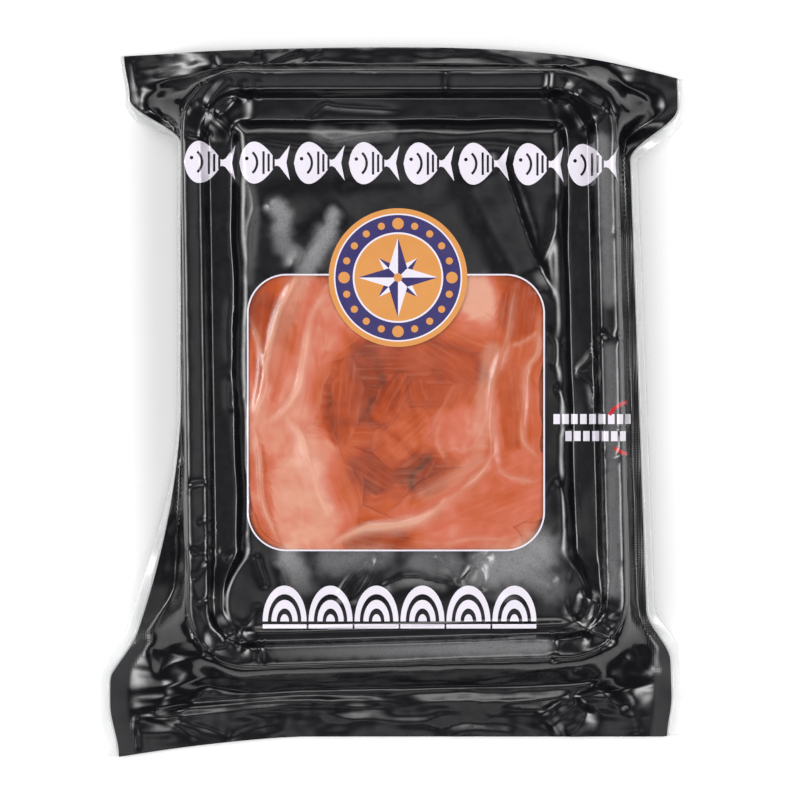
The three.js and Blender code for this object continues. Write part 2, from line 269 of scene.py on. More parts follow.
def pull_at(x, y):
    """How far a place on the tray is moved by the pull of the vacuum"""
    u = (x - TRAY["x"]) / TRAY["half_width"] / 2 + 0.5
    v = (y - TRAY["y"]) / TRAY["half_length"] / 2 + 0.5
    moved = []
    for axis in (0, 1):
        low = lerp(PULL_BOTTOM_LEFT[axis], PULL_BOTTOM_RIGHT[axis], u)
        high = lerp(PULL_TOP_LEFT[axis], PULL_TOP_RIGHT[axis], u)
        moved.append(lerp(low, high, v))
    return moved


def tray_loop(offset, *steps):
    """Loop round the tray at a distance from the rim's centreline"""
    loop = rounded_loop(TRAY, offset, *steps)
    return loop + np.column_stack(pull_at(loop[:, 0], loop[:, 1]))


def rim_offset(x, y):
    """Distance from the rim's centreline, negative inwards"""
    dx, dy = pull_at(x, y)
    return box_distance(TRAY, x - dx, y - dy)


OUTLINE = outline_loop()


def edge_distance(x, y):
    """Distance inwards from the film's outer edge, rounded off at its corners"""
    sides = [x - left_edge(y), right_edge(y) - x, top_edge(x) - y, y - bottom_edge(x)]
    near = sum(np.exp(-np.clip(side, 0, 60) / EDGE_ROUND) for side in sides)
    return np.maximum(-EDGE_ROUND * np.log(near), 0)


# Broad form of the film: the tray, the fish under it and the flaps

FOLDS = [
    # x, y, angle, length, width, height of slices and folds that show through the film
    (-36, 22, 72, 26, 5, 0.9),
    (-24, 8, 82, 30, 5, 0.7),
    (-26, -28, 112, 24, 5, 0.8),
    (16, -37, 22, 34, 5, 1),
    (36, 6, 80, 34, 5, 0.8),
    (46, -14, 100, 20, 4, 0.4),
    (-2, -8, 60, 18, 12, -1.3),
    (-20, 72, 8, 40, 6, 0.5),
    (34, 60, 118, 30, 5, 0.7),
    (-12, -56, 20, 26, 4, 0.7),
    (28, -58, -28, 22, 4, 0.7),
]


def fill_height(x, y):
    """Film over the fish: a low dome with the folds that show through it"""
    dome = np.maximum(0, 1 - (x / 60) ** 2) * np.maximum(0, 1 - ((y - TRAY["y"]) / 88) ** 2)
    height = FILL_HEIGHT + FILL_DOME * dome
    for fx, fy, angle, length, width, rise in FOLDS:
        along, across = turned(x - fx, y - fy, angle)
        height = height + rise * bump(along, 0, length) * bump(across, 0, width)
    return height


def lean(x, y):
    """Slope of the rim's top: it leans outwards on the right and at the right of the bottom"""
    right = smooth(x, 60, 68) * (1 - smooth(y, 82, 94))
    low_right = smooth(-y, 76, 82) * smooth(x, -10, 30)
    return RIM_LEAN * np.maximum(right, low_right)


def into_moat(x, y, offset):
    """How near the tray's low end a place is, and its distance from the rim's centreline if the
    moat were as wide and even there as elsewhere"""
    low_end = smooth(-y, 50, 68)
    inner = -RIM_HALF_WIDTH + (offset + RIM_HALF_WIDTH) * (1 + MOAT_SQUEEZE * low_end)
    return low_end, inner + MOAT_WANDER * wander(x, y, 24, 3) * smooth(-inner, 8, 12)


def moat_loop(target):
    """Loop along the moat, which keeps the wandering distance of its foot"""
    loop = tray_loop(target + 1, 14, 110, 170)
    for _ in range(MOAT_LOOP_ROUNDS):
        step = np.roll(loop, -1, axis=0) - np.roll(loop, 1, axis=0)
        outward = np.column_stack([step[:, 1], -step[:, 0]]) / np.hypot(*step.T)[:, None]
        x, y = loop.T
        gap = target - into_moat(x, y, rim_offset(x, y))[1]
        loop = loop + outward * 0.45 * gap[:, None]
    return loop


def tray_height(x, y, offset):
    """Film over the tray, at a distance from the rim's centreline, negative inwards"""
    rim_edge = RIM_HEIGHT - RIM_ROUND
    on_rim = np.clip(np.abs(offset / RIM_HALF_WIDTH), 0, 1)
    rim = RIM_HEIGHT - RIM_ROUND * (1 - np.cbrt(1 - on_rim**3))
    rim = rim - lean(x, y) * (offset + RIM_HALF_WIDTH)
    low_end, inner = into_moat(x, y, offset)
    moat = lerp(MOAT_HEIGHT, LOW_MOAT_HEIGHT, low_end)
    down = np.interp(inner, (MOAT_OUTER, WALL_FOOT, -RIM_HALF_WIDTH), (1, WALL_FOOT_DROP, 0))
    wall = lerp(rim_edge, moat, down)
    rise = np.clip((MOAT_INNER - inner) / (MOAT_INNER - CREST_OFFSET), 0, 1)
    rise = (1 + FOOT_ROUND) * rise**2 / (rise + FOOT_ROUND)
    fish = lerp(moat, fill_height(x, y), 1 - (1 - rise) ** CREST_POWER)
    inside = np.where(inner > MOAT_INNER, wall, fish)
    return np.where(offset < -RIM_HALF_WIDTH, inside, rim)


TAUT = [
    # place in the photo's pixels, reach, height and how fully the film bridges rim and moat
    (214, 106, 30, 18.2, 0.85),
    (590, 100, 30, 18.2, 0.85),
    (598, 627, 25, 17.4, 0.8),
    (228, 640, 23, 17.4, 0.75),
]


def flap_height(x, y, share, width):
    """Film between the rim (share 0) and its outer edge (share 1), on a flap of this width"""
    rim_edge = RIM_HEIGHT - RIM_ROUND - lean(x, y) * 2 * RIM_HALF_WIDTH
    end = lerp(FLANGE_HEIGHT, FLAP_END_HEIGHT, smooth(width, 3, 20))
    top = smooth(y, 104, 114)
    side = smooth(np.abs(x - TRAY["x"]), TRAY["half_width"] - 6, TRAY["half_width"] + 12)
    corner = side * (smooth(-y, 62, 80) + smooth(y, 90, 104))
    narrow = 1 - smooth(width, 6, 16)
    # The film comes down over the first part of its way, a longer one where it bridges a corner
    drop = smooth(share, 0, np.maximum(lerp(0.4, 0.85, corner), 0.55 * narrow))
    drop = lerp(drop, 0.92 * smooth(share, 0, lerp(0.3, 0.6, corner)) + 0.08 * share, top)
    ripple = 0.5 * np.sin(y / 5.5 + x / 17) * side + 0.4 * np.sin(x / 9 + 2) * (1 - side)
    seal = smooth(-y, 84, 90) * (1 - side) * SEAL_DEPTH * bump(share, 0.6, 0.07)
    ends = smooth(-y, 84, 92) + smooth(y, 110, 116)
    streaks = ends * STREAK_DEPTH * wander(x * 0.22 + y * 0.1, y, 3.4, 51)
    return lerp(rim_edge, end, drop) + (ripple + streaks) * bump(share, 0.65, 0.3) - seal


def broad_height(x, y):
    """Height of the film without its creases"""
    offset = rim_offset(x, y)
    height = tray_height(x, y, offset)
    outside = offset > RIM_HALF_WIDTH
    if outside.any():
        ox, oy = x[outside], y[outside]
        beyond = offset[outside] - RIM_HALF_WIDTH
        width = beyond + edge_distance(ox, oy)
        height[outside] = flap_height(ox, oy, beyond / (width + 1e-6), width)
    for px, py, reach, level, amount in TAUT:
        cx, cy = from_photo(px, py)
        away = np.hypot(x - cx, y - cy) / (reach * MM_PER_PIXEL)
        height = lerp(height, level, amount * np.exp(-(away**4)))
    return height


# Creases. Each has a height, a width (or one for its left and one for its right side) and its
# route through the photo's pixels. A negative height is a groove.

FILM_CREASES = [
    # Wide slopes and hollows that turn whole areas of film towards or away from the light
    (3.4, (2.2, 15.0), [(486, 150), (504, 176), (512, 194), (522, 224), (534, 257), (549, 290)]),
    (
        1.5,
        (1.8, 3.4),
        [(557, 192), (556, 225), (550, 242), (544, 260), (545, 277), (551, 291), (547, 303)],
    ),
    (1.0, (7.0, 9.0), [(262, 196), (276, 214), (290, 236), (300, 262), (300, 284)]),
    (1.3, (9.0, 6.0), [(276, 296), (296, 262), (318, 234), (346, 206)]),
    (-0.9, 7.0, [(330, 176), (370, 184), (430, 180)]),
    (1.2, (8.0, 5.0), [(300, 606), (350, 588), (390, 574), (430, 570), (470, 560), (520, 540)]),
    (1.4, (8.0, 9.0), [(470, 600), (510, 585), (550, 560), (566, 520), (562, 470)]),
    (-0.8, 6.0, [(300, 560), (340, 566), (380, 558)]),
    # Top flap
    (0.9, (2.4, 1.0), [(128, 88), (160, 86), (190, 84), (217, 77), (244, 71), (269, 68)]),
    (0.8, (2.0, 0.9), [(262, 68), (320, 69), (390, 68), (449, 68), (538, 70), (576, 76), (606, 90)]),
    (0.6, 1.3, [(150, 74), (173, 67), (198, 58)]),
    (0.7, 1.5, [(252, 72), (272, 60), (301, 48)]),
    (0.5, 1.2, [(282, 70), (300, 60), (325, 50)]),
    (0.6, 1.8, [(480, 50), (509, 57), (544, 69)]),
    (0.5, 1.4, [(548, 52), (578, 60), (622, 68)]),
    (-0.5, 1.2, [(212, 52), (216, 64), (218, 78)]),
    (-0.5, 1.2, [(256, 50), (262, 62), (262, 72)]),
    (-0.4, 1.0, [(608, 62), (612, 78), (604, 92)]),
    (0.5, 1.2, [(131, 57), (134, 80), (139, 107)]),
    # Top left corner
    (1.3, (2.4, 1.6), [(139, 110), (148, 102), (165, 100), (183, 101)]),
    (1.4, (3.0, 2.4), [(156, 113), (172, 110), (192, 113)]),
    (1.9, (2.0, 3.2), [(205, 114), (211, 102), (221, 90), (234, 78)]),
    (1.6, (2.0, 1.8), [(214, 118), (226, 111), (238, 97)]),
    (-1.4, 1.8, [(196, 100), (214, 116), (228, 130), (240, 141)]),
    (-1.2, 1.5, [(184, 134), (198, 138), (214, 134)]),
    (0.9, 1.8, [(243, 80), (246, 91), (253, 101)]),
    (0.7, 1.6, [(260, 80), (258, 91), (264, 100)]),
    # Rim at the top and its right corner
    (-0.9, 1.0, [(446, 68), (445, 82), (446, 97)]),
    (-1.8, 1.5, [(549, 68), (548, 84), (545, 102)]),
    (1.6, (2.2, 1.4), [(550, 100), (560, 92), (567, 80)]),
    (1.8, (1.8, 3.2), [(574, 92), (588, 103), (606, 110)]),
    (1.6, (2.8, 1.8), [(610, 110), (601, 122), (588, 131)]),
    (-1.6, 1.8, [(566, 98), (577, 114), (588, 130)]),
    (1.2, (1.4, 2.2), [(604, 88), (627, 90), (651, 103)]),
    (1.3, (2.2, 1.3), [(620, 100), (632, 112), (652, 112)]),
    # Moat at the top
    (0.7, 1.5, [(242, 138), (259, 128), (301, 123), (313, 115), (325, 105), (342, 107), (410, 111)]),
    (0.9, 2.0, [(313, 132), (330, 142), (360, 137), (398, 128)]),
    (0.5, 1.6, [(410, 130), (450, 136), (500, 132), (530, 138)]),
    # Round the fish
    (0.5, 1.6, [(242, 143), (263, 143), (292, 147), (330, 151), (362, 150), (397, 145)]),
    (0.5, 1.6, [(397, 145), (414, 147), (475, 143), (509, 145), (532, 151), (550, 158)]),
    (0.7, 1.8, [(240, 143), (252, 187), (255, 208), (250, 231), (248, 279)]),
    (0.7, 2.2, [(244, 300), (238, 340), (236, 380), (244, 420), (246, 470)]),
    (0.7, 1.8, [(568, 520), (571, 556), (564, 587)]),
    (0.8, 2.0, [(268, 200), (276, 216), (288, 232)]),
    (0.9, 3.2, [(286, 272), (305, 252), (322, 232), (342, 214)]),
    (0.9, (1.8, 2.8), [(540, 330), (550, 334), (557, 346), (556, 362), (550, 372)]),
    (1.3, (3.0, 1.8), [(552, 384), (560, 392), (567, 406), (569, 420), (563, 438)]),
    (1.4, (2.0, 5.0), [(550, 478), (561, 489), (571, 514), (574, 548)]),
    (0.8, 1.8, [(232, 372), (230, 386), (232, 408), (246, 390)]),
    (0.6, 1.8, [(232, 290), (228, 330), (230, 372)]),
    (0.7, 1.6, [(232, 408), (240, 440), (246, 480), (246, 540)]),
    # Rim on the left
    (-1.4, 1.1, [(185, 486), (196, 483), (209, 482)]),
    (0.5, 1.0, [(186, 490), (198, 488), (209, 484)]),
    (-1.3, 1.3, [(188, 548), (200, 552), (218, 551)]),
    (0.7, 0.9, [(190, 546), (204, 540), (214, 528)]),
    (0.6, 1.0, [(192, 560), (204, 552), (222, 550)]),
    (-1.2, 1.2, [(191, 578), (200, 572), (210, 560)]),
    (0.8, 1.0, [(192, 578), (198, 590), (204, 602)]),
    (-1.1, 1.1, [(196, 606), (206, 600), (216, 596)]),
    (0.6, 1.2, [(200, 606), (208, 622), (222, 636)]),
    (-0.9, 1.3, [(196, 524), (206, 520), (214, 526)]),
    (-1.3, 1.2, [(222, 640), (236, 634), (244, 652)]),
    (0.8, 1.0, [(242, 641), (252, 650), (256, 662)]),
    (0.7, 1.0, [(262, 640), (268, 650), (278, 661)]),
    (-1.1, 1.2, [(258, 641), (262, 652), (262, 666)]),
    (0.9, 1.2, [(238, 640), (250, 620), (262, 600)]),
    (0.6, 1.4, [(222, 560), (238, 548), (247, 530)]),
    # Rim on the right
    (-1.4, 1.3, [(597, 331), (610, 338), (624, 332)]),
    (0.8, 1.0, [(596, 346), (612, 337), (624, 346)]),
    (0.8, 1.2, [(596, 346), (588, 360), (578, 372), (590, 384), (596, 408), (602, 418)]),
    (-0.9, 1.2, [(604, 424), (614, 430), (626, 428)]),
    (-1.2, 1.2, [(605, 452), (614, 458), (625, 450)]),
    (0.7, 1.0, [(604, 444), (611, 458), (607, 472)]),
    (0.6, 1.3, [(608, 500), (610, 540), (606, 574)]),
    (0.8, 1.2, [(603, 604), (611, 580), (620, 566)]),
    (-0.7, 1.4, [(598, 230), (610, 234), (622, 230)]),
    # Bottom right corner
    (-1.8, (2.0, 2.4), [(564, 586), (570, 612), (585, 628), (615, 640), (652, 652)]),
    (1.9, (2.6, 3.4), [(574, 594), (590, 599), (606, 606), (618, 617)]),
    (1.3, (2.6, 2.2), [(588, 616), (600, 620), (612, 630)]),
    (1.7, (3.0, 2.2), [(550, 656), (562, 642), (575, 634), (592, 640)]),
    (1.3, (2.2, 2.4), [(606, 606), (613, 584), (616, 558)]),
    (0.9, 2.4, [(600, 650), (630, 645), (662, 652)]),
    (-1.6, 1.6, [(550, 630), (555, 648), (552, 664)]),
    # Rim at the bottom
    (0.8, (1.4, 2.0), [(460, 640), (500, 638), (545, 636)]),
    # Below the window
    (0.8, (1.6, 2.4), [(256, 552), (262, 570), (268, 590)]),
    (0.7, (1.4, 2.2), [(276, 556), (284, 574), (290, 592)]),
    (1.0, (1.4, 2.6), [(336, 604), (345, 583), (358, 570), (374, 560)]),
    (0.9, (1.4, 2.2), [(347, 606), (362, 590), (372, 572), (381, 552)]),
    (1.3, (1.4, 3.6), [(376, 590), (394, 580), (412, 576), (440, 581), (458, 584)]),
    (1.4, (1.3, 3.0), [(455, 585), (466, 574), (477, 560), (494, 552)]),
    (1.2, (1.6, 1.6), [(479, 562), (483, 576), (481, 592)]),
    (0.8, (1.4, 2.0), [(436, 551), (446, 566), (460, 580)]),
    (0.8, (1.6, 2.6), [(506, 560), (532, 572), (558, 586)]),
    (0.6, (1.6, 2.6), [(520, 548), (542, 566), (560, 584)]),
    # Bottom flap
    (1.6, (2.4, 3.2), [(128, 653), (148, 637), (170, 628), (190, 622)]),
    (1.6, (2.0, 2.8), [(142, 655), (172, 646), (202, 636)]),
    (2.2, (5.0, 2.6), [(150, 674), (172, 664), (196, 658), (214, 656)]),
    (-1.2, 2.2, [(150, 652), (186, 654), (222, 647), (240, 641)]),
    (0.9, 1.6, [(128, 693), (170, 686), (223, 678), (294, 682), (380, 683)]),
    (0.8, 1.4, [(380, 683), (440, 682), (479, 682), (508, 676), (576, 666)]),
    (0.7, 1.3, [(124, 702), (179, 698), (230, 694), (280, 688), (308, 683)]),
    (0.7, 1.3, [(380, 697), (450, 694), (518, 693), (590, 688), (612, 678)]),
    (-1.0, 1.2, [(118, 717), (160, 714), (219, 708), (308, 703), (410, 704)]),
    (-1.0, 1.2, [(408, 704), (499, 704), (560, 700), (620, 692), (676, 684)]),
    (0.9, 1.2, [(118, 711), (160, 708), (219, 702), (308, 697), (410, 698)]),
    (0.8, 1.2, [(118, 723), (160, 720), (219, 714), (308, 709), (410, 711)]),
    (1.0, 1.5, [(536, 720), (558, 706), (580, 694), (600, 684), (620, 674)]),
    (2.2, (3.6, 4.4), [(548, 734), (566, 718), (584, 700)]),
    (2.0, (4.0, 4.0), [(568, 742), (582, 728), (592, 708)]),
    (-1.6, (3.0, 5.0), [(296, 716), (360, 722), (430, 724), (500, 720), (548, 716)]),
    (0.8, 1.5, [(134, 716), (134, 734), (139, 755)]),
    (0.7, 1.6, [(138, 716), (168, 726), (200, 742)]),
    (0.7, 1.4, [(142, 715), (184, 724), (228, 738)]),
    (0.7, 3.0, [(626, 706), (636, 720), (640, 738)]),
    (0.8, 2.6, [(220, 744), (250, 730), (290, 722)]),
    (0.7, 2.4, [(440, 742), (476, 734), (520, 738)]),
    (0.8, 2.2, [(622, 660), (644, 664), (664, 676)]),
]
WINDOW_CREASES = [
    (1.2, (3.0, 1.7), [(300, 268), (294, 281), (281, 308), (270, 344), (261, 390), (255, 422)]),
    (1.1, (3.6, 2.0), [(328, 286), (311, 318), (304, 359), (296, 392), (280, 414), (262, 424)]),
    (0.8, (1.8, 1.1), [(250, 318), (260, 345), (264, 380), (258, 404), (254, 424)]),
    (0.9, (1.1, 1.8), [(254, 424), (259, 454), (261, 485), (265, 509), (278, 540)]),
    (1.4, (2.8, 4.2), [(282, 416), (298, 430), (310, 462), (320, 497), (334, 522)]),
    (1.4, (1.8, 4.2), [(331, 547), (341, 538), (365, 527), (400, 523), (428, 513), (456, 493)]),
    (0.7, (1.4, 2.2), [(452, 496), (479, 474), (491, 454), (489, 422), (493, 379), (507, 336)]),
    (0.4, (1.4, 1.8), [(492, 384), (500, 356), (507, 336), (511, 308), (516, 284)]),
    (0.6, (0.9, 2.0), [(540, 318), (537, 352), (526, 371), (524, 403), (522, 438), (538, 458)]),
    (0.5, (1.2, 2.0), [(511, 346), (524, 341), (540, 330)]),
    (0.5, (2.4, 1.4), [(492, 452), (500, 470), (511, 478), (534, 482)]),
    (0.4, (1.4, 2.6), [(292, 470), (300, 500), (304, 530)]),
    (0.4, (2.4, 1.6), [(440, 420), (436, 440), (446, 462)]),
    (0.4, 2.0, [(440, 545), (476, 538), (516, 540)]),
]
CREASES = FILM_CREASES + WINDOW_CREASES
CREASE_SCALE = 0.62
STEEP_LOSS = 0.6
LOOSE_WAVE = 0.35  # height of the slow waves on the flaps
TIGHT_WAVE = 0.12  # and on all of the film


def smooth_route(pixels):
    """An even curve through the pixels of a route, in millimetres"""
    x, y = from_photo(*zip(*pixels))
    points = np.column_stack([x, y])
    ends = [2 * points[0] - points[1], *points, 2 * points[-1] - points[-2]]
    curve = []
    for a, b, c, d in zip(ends, ends[1:], ends[2:], ends[3:]):
        steps = max(2, int(np.hypot(*(c - b)) / CREASE_STEP))
        bend, twist = 2 * a - 5 * b + 4 * c - d, 3 * b - a - 3 * c + d
        for t in np.arange(steps) / steps:
            curve.append(0.5 * (2 * b + (c - a) * t + bend * t**2 + twist * t**3))
    return np.array([*curve, points[-1]])


def against_route(x, y, route):
    """Distance sideways from a route, positive on its left, and the share of its length"""
    start = route[:-1]
    step = np.diff(route, axis=0)
    long = np.hypot(step[:, 0], step[:, 1])
    dx = x[:, None] - start[None, :, 0]
    dy = y[:, None] - start[None, :, 1]
    t = np.clip((dx * step[:, 0] + dy * step[:, 1]) / long**2, 0, 1)
    away = np.hypot(dx - t * step[:, 0], dy - t * step[:, 1])
    near = away.argmin(1)
    rows = np.arange(len(x))
    side = np.sign(step[near, 0] * dy[rows, near] - step[near, 1] * dx[rows, near])
    travelled = np.concatenate([[0], np.cumsum(long)])
    share = (travelled[near] + t[rows, near] * long[near]) / travelled[-1]
    return away[rows, near] * np.where(side < 0, -1, 1), share


def near_route(x, y, route, reach):
    """Which places lie near a route, and for those what against_route says"""
    near = within(x, y, route, reach)
    return near, *against_route(x[near], y[near], route)


def crease_widths(width):
    """Width on the left and on the right of a crease, wide enough for the mesh"""
    both = width if isinstance(width, tuple) else (width, width)
    return [max(side, NARROWEST_CREASE) for side in both]


def crease_relief(x, y):
    """Height that the creases add to the film"""
    relief = np.zeros(len(x))
    for height, width, route in ROUTES:
        left, right = crease_widths(width)
        near, aside, share = near_route(x, y, route, 3 * max(left, right))
        u = aside / np.where(aside > 0, left, right)
        fade = smooth(share, 0, 0.18) * smooth(1 - share, 0, 0.18)
        profile = np.exp(-(np.abs(u) ** 1.5) * 1.2)
        relief[near] += height * profile * fade
    return relief


def film_height(x, y):
    """Height of the front film at any place on the pack"""
    offset = rim_offset(x, y)
    # The walls of the moat and the rim are steep, and creases are lower there
    steep = bump(offset, -14.5, 3) + bump(offset, -4.8, 1.2)
    scale = CREASE_SCALE * (1 - STEEP_LOSS * steep)
    height = broad_height(x, y) + scale * crease_relief(x, y)
    loose = smooth(offset, 4, 8)
    height += loose * LOOSE_WAVE * wander(x, y, 7, 11)
    height += TIGHT_WAVE * wander(x, y, 9, 12)
    above = np.maximum(height - HIGHEST_FLAT, 0)
    height = np.minimum(height, HIGHEST_FLAT) + 1 - np.exp(-above)
    return np.maximum(height, LOWEST_FILM)


FOLD_SHEEN = 0.85  # paleness along a fold of the window: partly haze where the film stands off the fish, partly painted sheen
FOLD_SHEEN_WIDTH = 0.5  # and how wide, as a share of the fold's width
HAZE_AND_SHEEN_ROUTES = [
    # how pale the film is painted at the start and the end of a route, and its half width: partly
    # haze, partly painted sheen
    (1.0, 0.8, 3.2, [(278, 208), (284, 218), (281, 230)]),
    (0.65, 0.45, 3.4, [(282, 232), (285, 246), (296, 254), (308, 264)]),
    (1.0, 0.9, 2.2, [(334, 214), (330, 228)]),
    (0.95, 0.85, 3.4, [(327, 234), (318, 252), (308, 268)]),
    (0.7, 0.3, 3.2, [(308, 268), (296, 296), (284, 330)]),
    (0.9, 0.35, 4.2, [(288, 556), (296, 568), (302, 584)]),
    (0.5, 0.35, 5.0, [(330, 560), (380, 556)]),
    (0.4, 0.4, 5.0, [(420, 560), (450, 564)]),
    (0.8, 0.9, 7.5, [(490, 568), (516, 562), (536, 552)]),
    (0.8, 0.4, 5.0, [(524, 568), (552, 588)]),
    (0.3, 0.45, 4.5, [(300, 400), (304, 440), (312, 480), (322, 520)]),
    (0.35, 0.3, 6.0, [(290, 470), (292, 500)]),
    (0.3, 0.2, 3.5, [(292, 300), (278, 340), (268, 384)]),
    (0.5, 0.4, 5.0, [(478, 292), (484, 310)]),
    (0.5, 0.5, 2.8, [(492, 350), (484, 390), (481, 420), (480, 446)]),
    (0.4, 0.3, 2.8, [(478, 458), (452, 480), (424, 494)]),
    # From here on: painted highlights along the rims, the moat and the top flap
    (0.15, 0.55, 2.8, [(280, 650), (400, 649), (460, 648)]),
    (0.6, 0.65, 2.8, [(460, 648), (510, 647), (544, 646)]),
    (0.5, 0.45, 2.8, [(601, 142), (606, 200), (609, 300)]),
    (0.35, 0.45, 2.6, [(610, 350), (612, 440), (613, 590)]),
    (0.4, 0.3, 2.6, [(318, 134), (350, 138), (388, 132)]),
    (0.25, 0.2, 2.0, [(252, 190), (254, 220), (248, 280)]),
    (0.35, 0.3, 3.0, [(168, 66), (188, 66)]),
]


def haze_and_sheen(x, y):
    """How pale the film is, from 0 to 1: partly haze where it stands off what lies under it, partly
    painted sheen and highlights
    """
    total = np.zeros(len(x))
    for height, widths, route in WINDOW_CREASES:
        aside, share = against_route(x, y, smooth_route(route))
        left, right = crease_widths(widths)
        across = np.abs(aside / np.where(aside > 0, left, right) / FOLD_SHEEN_WIDTH)
        uneven = FOLD_SHEEN * (1 + 0.7 * wander(x, y, 11, 72))
        ends = 0.35 + 0.65 * smooth(np.minimum(share, 1 - share), 0, 0.15)
        total = np.maximum(total, uneven * height * ends * np.exp(-(across**1.5)))
    for first, last, width, route in HAZE_AND_SHEEN_ROUTES:
        near, aside, share = near_route(x, y, smooth_route(route), 2 * width)
        ragged = width * (1 + 0.35 * wander(x[near], y[near], 3, 71))
        amount = lerp(first, last, share) * np.exp(-(np.abs(aside / ragged) ** 3))
        total[near] = np.maximum(total[near], amount)
    return total


def film_normals(x, y):
    """Direction of the film's face, from the slope of its height"""
    step = 0.5
    along = film_height(x + step, y) - film_height(x - step, y)
    across = film_height(x, y + step) - film_height(x, y - step)
    normals = np.column_stack([-along, -across, np.full(len(x), 2 * step)])
    return normals / np.linalg.norm(normals, axis=1)[:, None]


ROUTES = [(height, width, smooth_route(route)) for height, width, route in CREASES]


# Print. Everything is a closed loop of points with an ink, in the order in which it is printed.

BADGE_PIXEL = (398, 278)
BADGE_RINGS = (("gold", 23.9), ("white", 22.1), ("navy", 21.6), ("white", 15.6), ("gold", 15.0))
BADGE_DOTS = 20
DOT_RING = 18.6
DOT_RADIUS = 1.25
LARGE_DOT_RADIUS = 2.0  # of every fifth dot
ROSE_POINTS = ((45, 2.6, 9.5), (0, 3.2, 13.8))  # first angle, half width and length
ROSE_HUB = 1.5
# Rows of motifs: ends, count, height and the middle or foot, in the photo's pixels
TITLE_FISH = {"from": 183, "to": 620, "count": 8, "middle": 163, "height": 42}
LOWER_SHELLS = {"from": 262, "to": 537, "count": 6, "foot": 628, "height": 43}
SHELL_STRIPES = (("white", 1), ("black", 0.76), ("white", 0.6), ("black", 0.36), ("white", 0.2))
SHELL_FOOT = 2.5  # height of a shell's arches over its foot
DASH_ROWS = ((414, range(553, 626, 9)), (431, range(565, 626, 9)))  # top and left edges
DASH_PIXELS = (6.5, 10)
RED_ARC_PIXEL = (631, 428)
RED_ARC_RADII = (8.4, 9.7)
RED_ARCS = ((98, 150), (228, 262))  # their angles


def spot(px, py):
    """One pixel's place on the pack, as plain numbers"""
    return [float(value) for value in from_photo(px, py)]


def circle(x, y, radius, start=0.0, end=360.0, step=0.7):
    """A circle, or an arc between two angles in degrees"""
    count = max(10, int(math.radians(end - start) * radius / step))
    angle = np.radians(np.linspace(start, end, count, endpoint=end - start < 360))
    return np.column_stack([x + radius * np.cos(angle), y + radius * np.sin(angle)])


def arc_band(x, y, inner, outer, start, end):
    """Part of a ring between two radii"""
    edges = [circle(x, y, radius, start, end) for radius in (outer, inner)]
    return np.concatenate([edges[0], edges[1][::-1]])


def polygon(points, x=0.0, y=0.0, turn=0.0, step=0.8):
    """A straight-sided shape, its sides divided into short steps"""
    c, s = math.cos(math.radians(turn)), math.sin(math.radians(turn))
    corners = np.array(points, float) @ np.array([[c, s], [-s, c]]) + [x, y]
    parts = []
    for a, b in zip(corners, np.roll(corners, -1, axis=0)):
        count = max(1, int(np.hypot(*(b - a)) / step))
        parts.append(lerp(a, b, np.arange(count)[:, None] / count))
    return np.concatenate(parts)


def bar(x0, y0, x1, y1):
    """Corners of an upright rectangle"""
    return [(x0, y0), (x1, y0), (x1, y1), (x0, y1)]


def badge_print():
    """A round badge: a ring of dots round a compass rose"""
    x, y = spot(*BADGE_PIXEL)
    loops = [(ink, circle(x, y, radius)) for ink, radius in BADGE_RINGS]
    for k in range(BADGE_DOTS):
        angle = math.radians(360 / BADGE_DOTS * k)
        dot = DOT_RADIUS if k % 5 else LARGE_DOT_RADIUS
        dot_x, dot_y = x + DOT_RING * math.cos(angle), y + DOT_RING * math.sin(angle)
        loops.append(("gold", circle(dot_x, dot_y, dot, step=0.6)))
    for first, wide, long in ROSE_POINTS:
        for turn in range(first, 360, 90):
            for ink, side in (("navy", wide), ("white", -wide)):
                loops.append((ink, polygon([(0, 0), (side, wide), (0, long)], x, y, turn)))
    loops.append(("gold", circle(x, y, ROSE_HUB)))
    return loops


def fish_print(x, y, length, height):
    """A plain fish that swims to the left, with a gill line, an eye and stripes left black"""
    t = np.linspace(0, 1, 22)
    back = np.column_stack([-0.5 + 0.74 * t, 0.5 * np.sin(math.pi * t**0.75) ** 0.8])
    back[0], back[-1] = (-0.5, 0), (0.24, 0.07)
    tail = np.array([(0.30, 0.10), (0.5, 0.42), (0.43, 0.0), (0.5, -0.42), (0.30, -0.10)])
    belly = (back * [1, -1])[::-1]
    shape = np.concatenate([back, tail, belly[:-1]]) * [length, height] + [x, y]
    gill = arc_band(x - 0.42 * length, y, 0.30 * height, 0.36 * height, -48, 48)
    eye = circle(x - 0.35 * length, y + 0.1 * height, 0.65, step=0.5)
    loops = [("white", shape), ("black", gill), ("black", eye)]
    for k in range(3):
        tall = (0.27 - 0.06 * k) * height
        stripe = polygon(bar(-0.4, -tall, 0.4, tall), x - (0.02 - 0.1 * k) * length, y)
        loops.append(("black", stripe))
    return loops


def in_row(row):
    """The pitch of a row of motifs, and the middle of each, in the photo's pixels"""
    pitch = (row["to"] - row["from"]) / row["count"]
    return pitch, [row["from"] + pitch * (k + 0.5) for k in range(row["count"])]


def title_print():
    """A row of plain fish across the top of the print"""
    loops = []
    pitch, middles = in_row(TITLE_FISH)
    for k, px in enumerate(middles):
        x, y = spot(px, TITLE_FISH["middle"] + 2.5 * k / TITLE_FISH["count"])
        length = (pitch - 4) * MM_PER_PIXEL
        loops += fish_print(x, y, length, TITLE_FISH["height"] * MM_PER_PIXEL)
    return loops


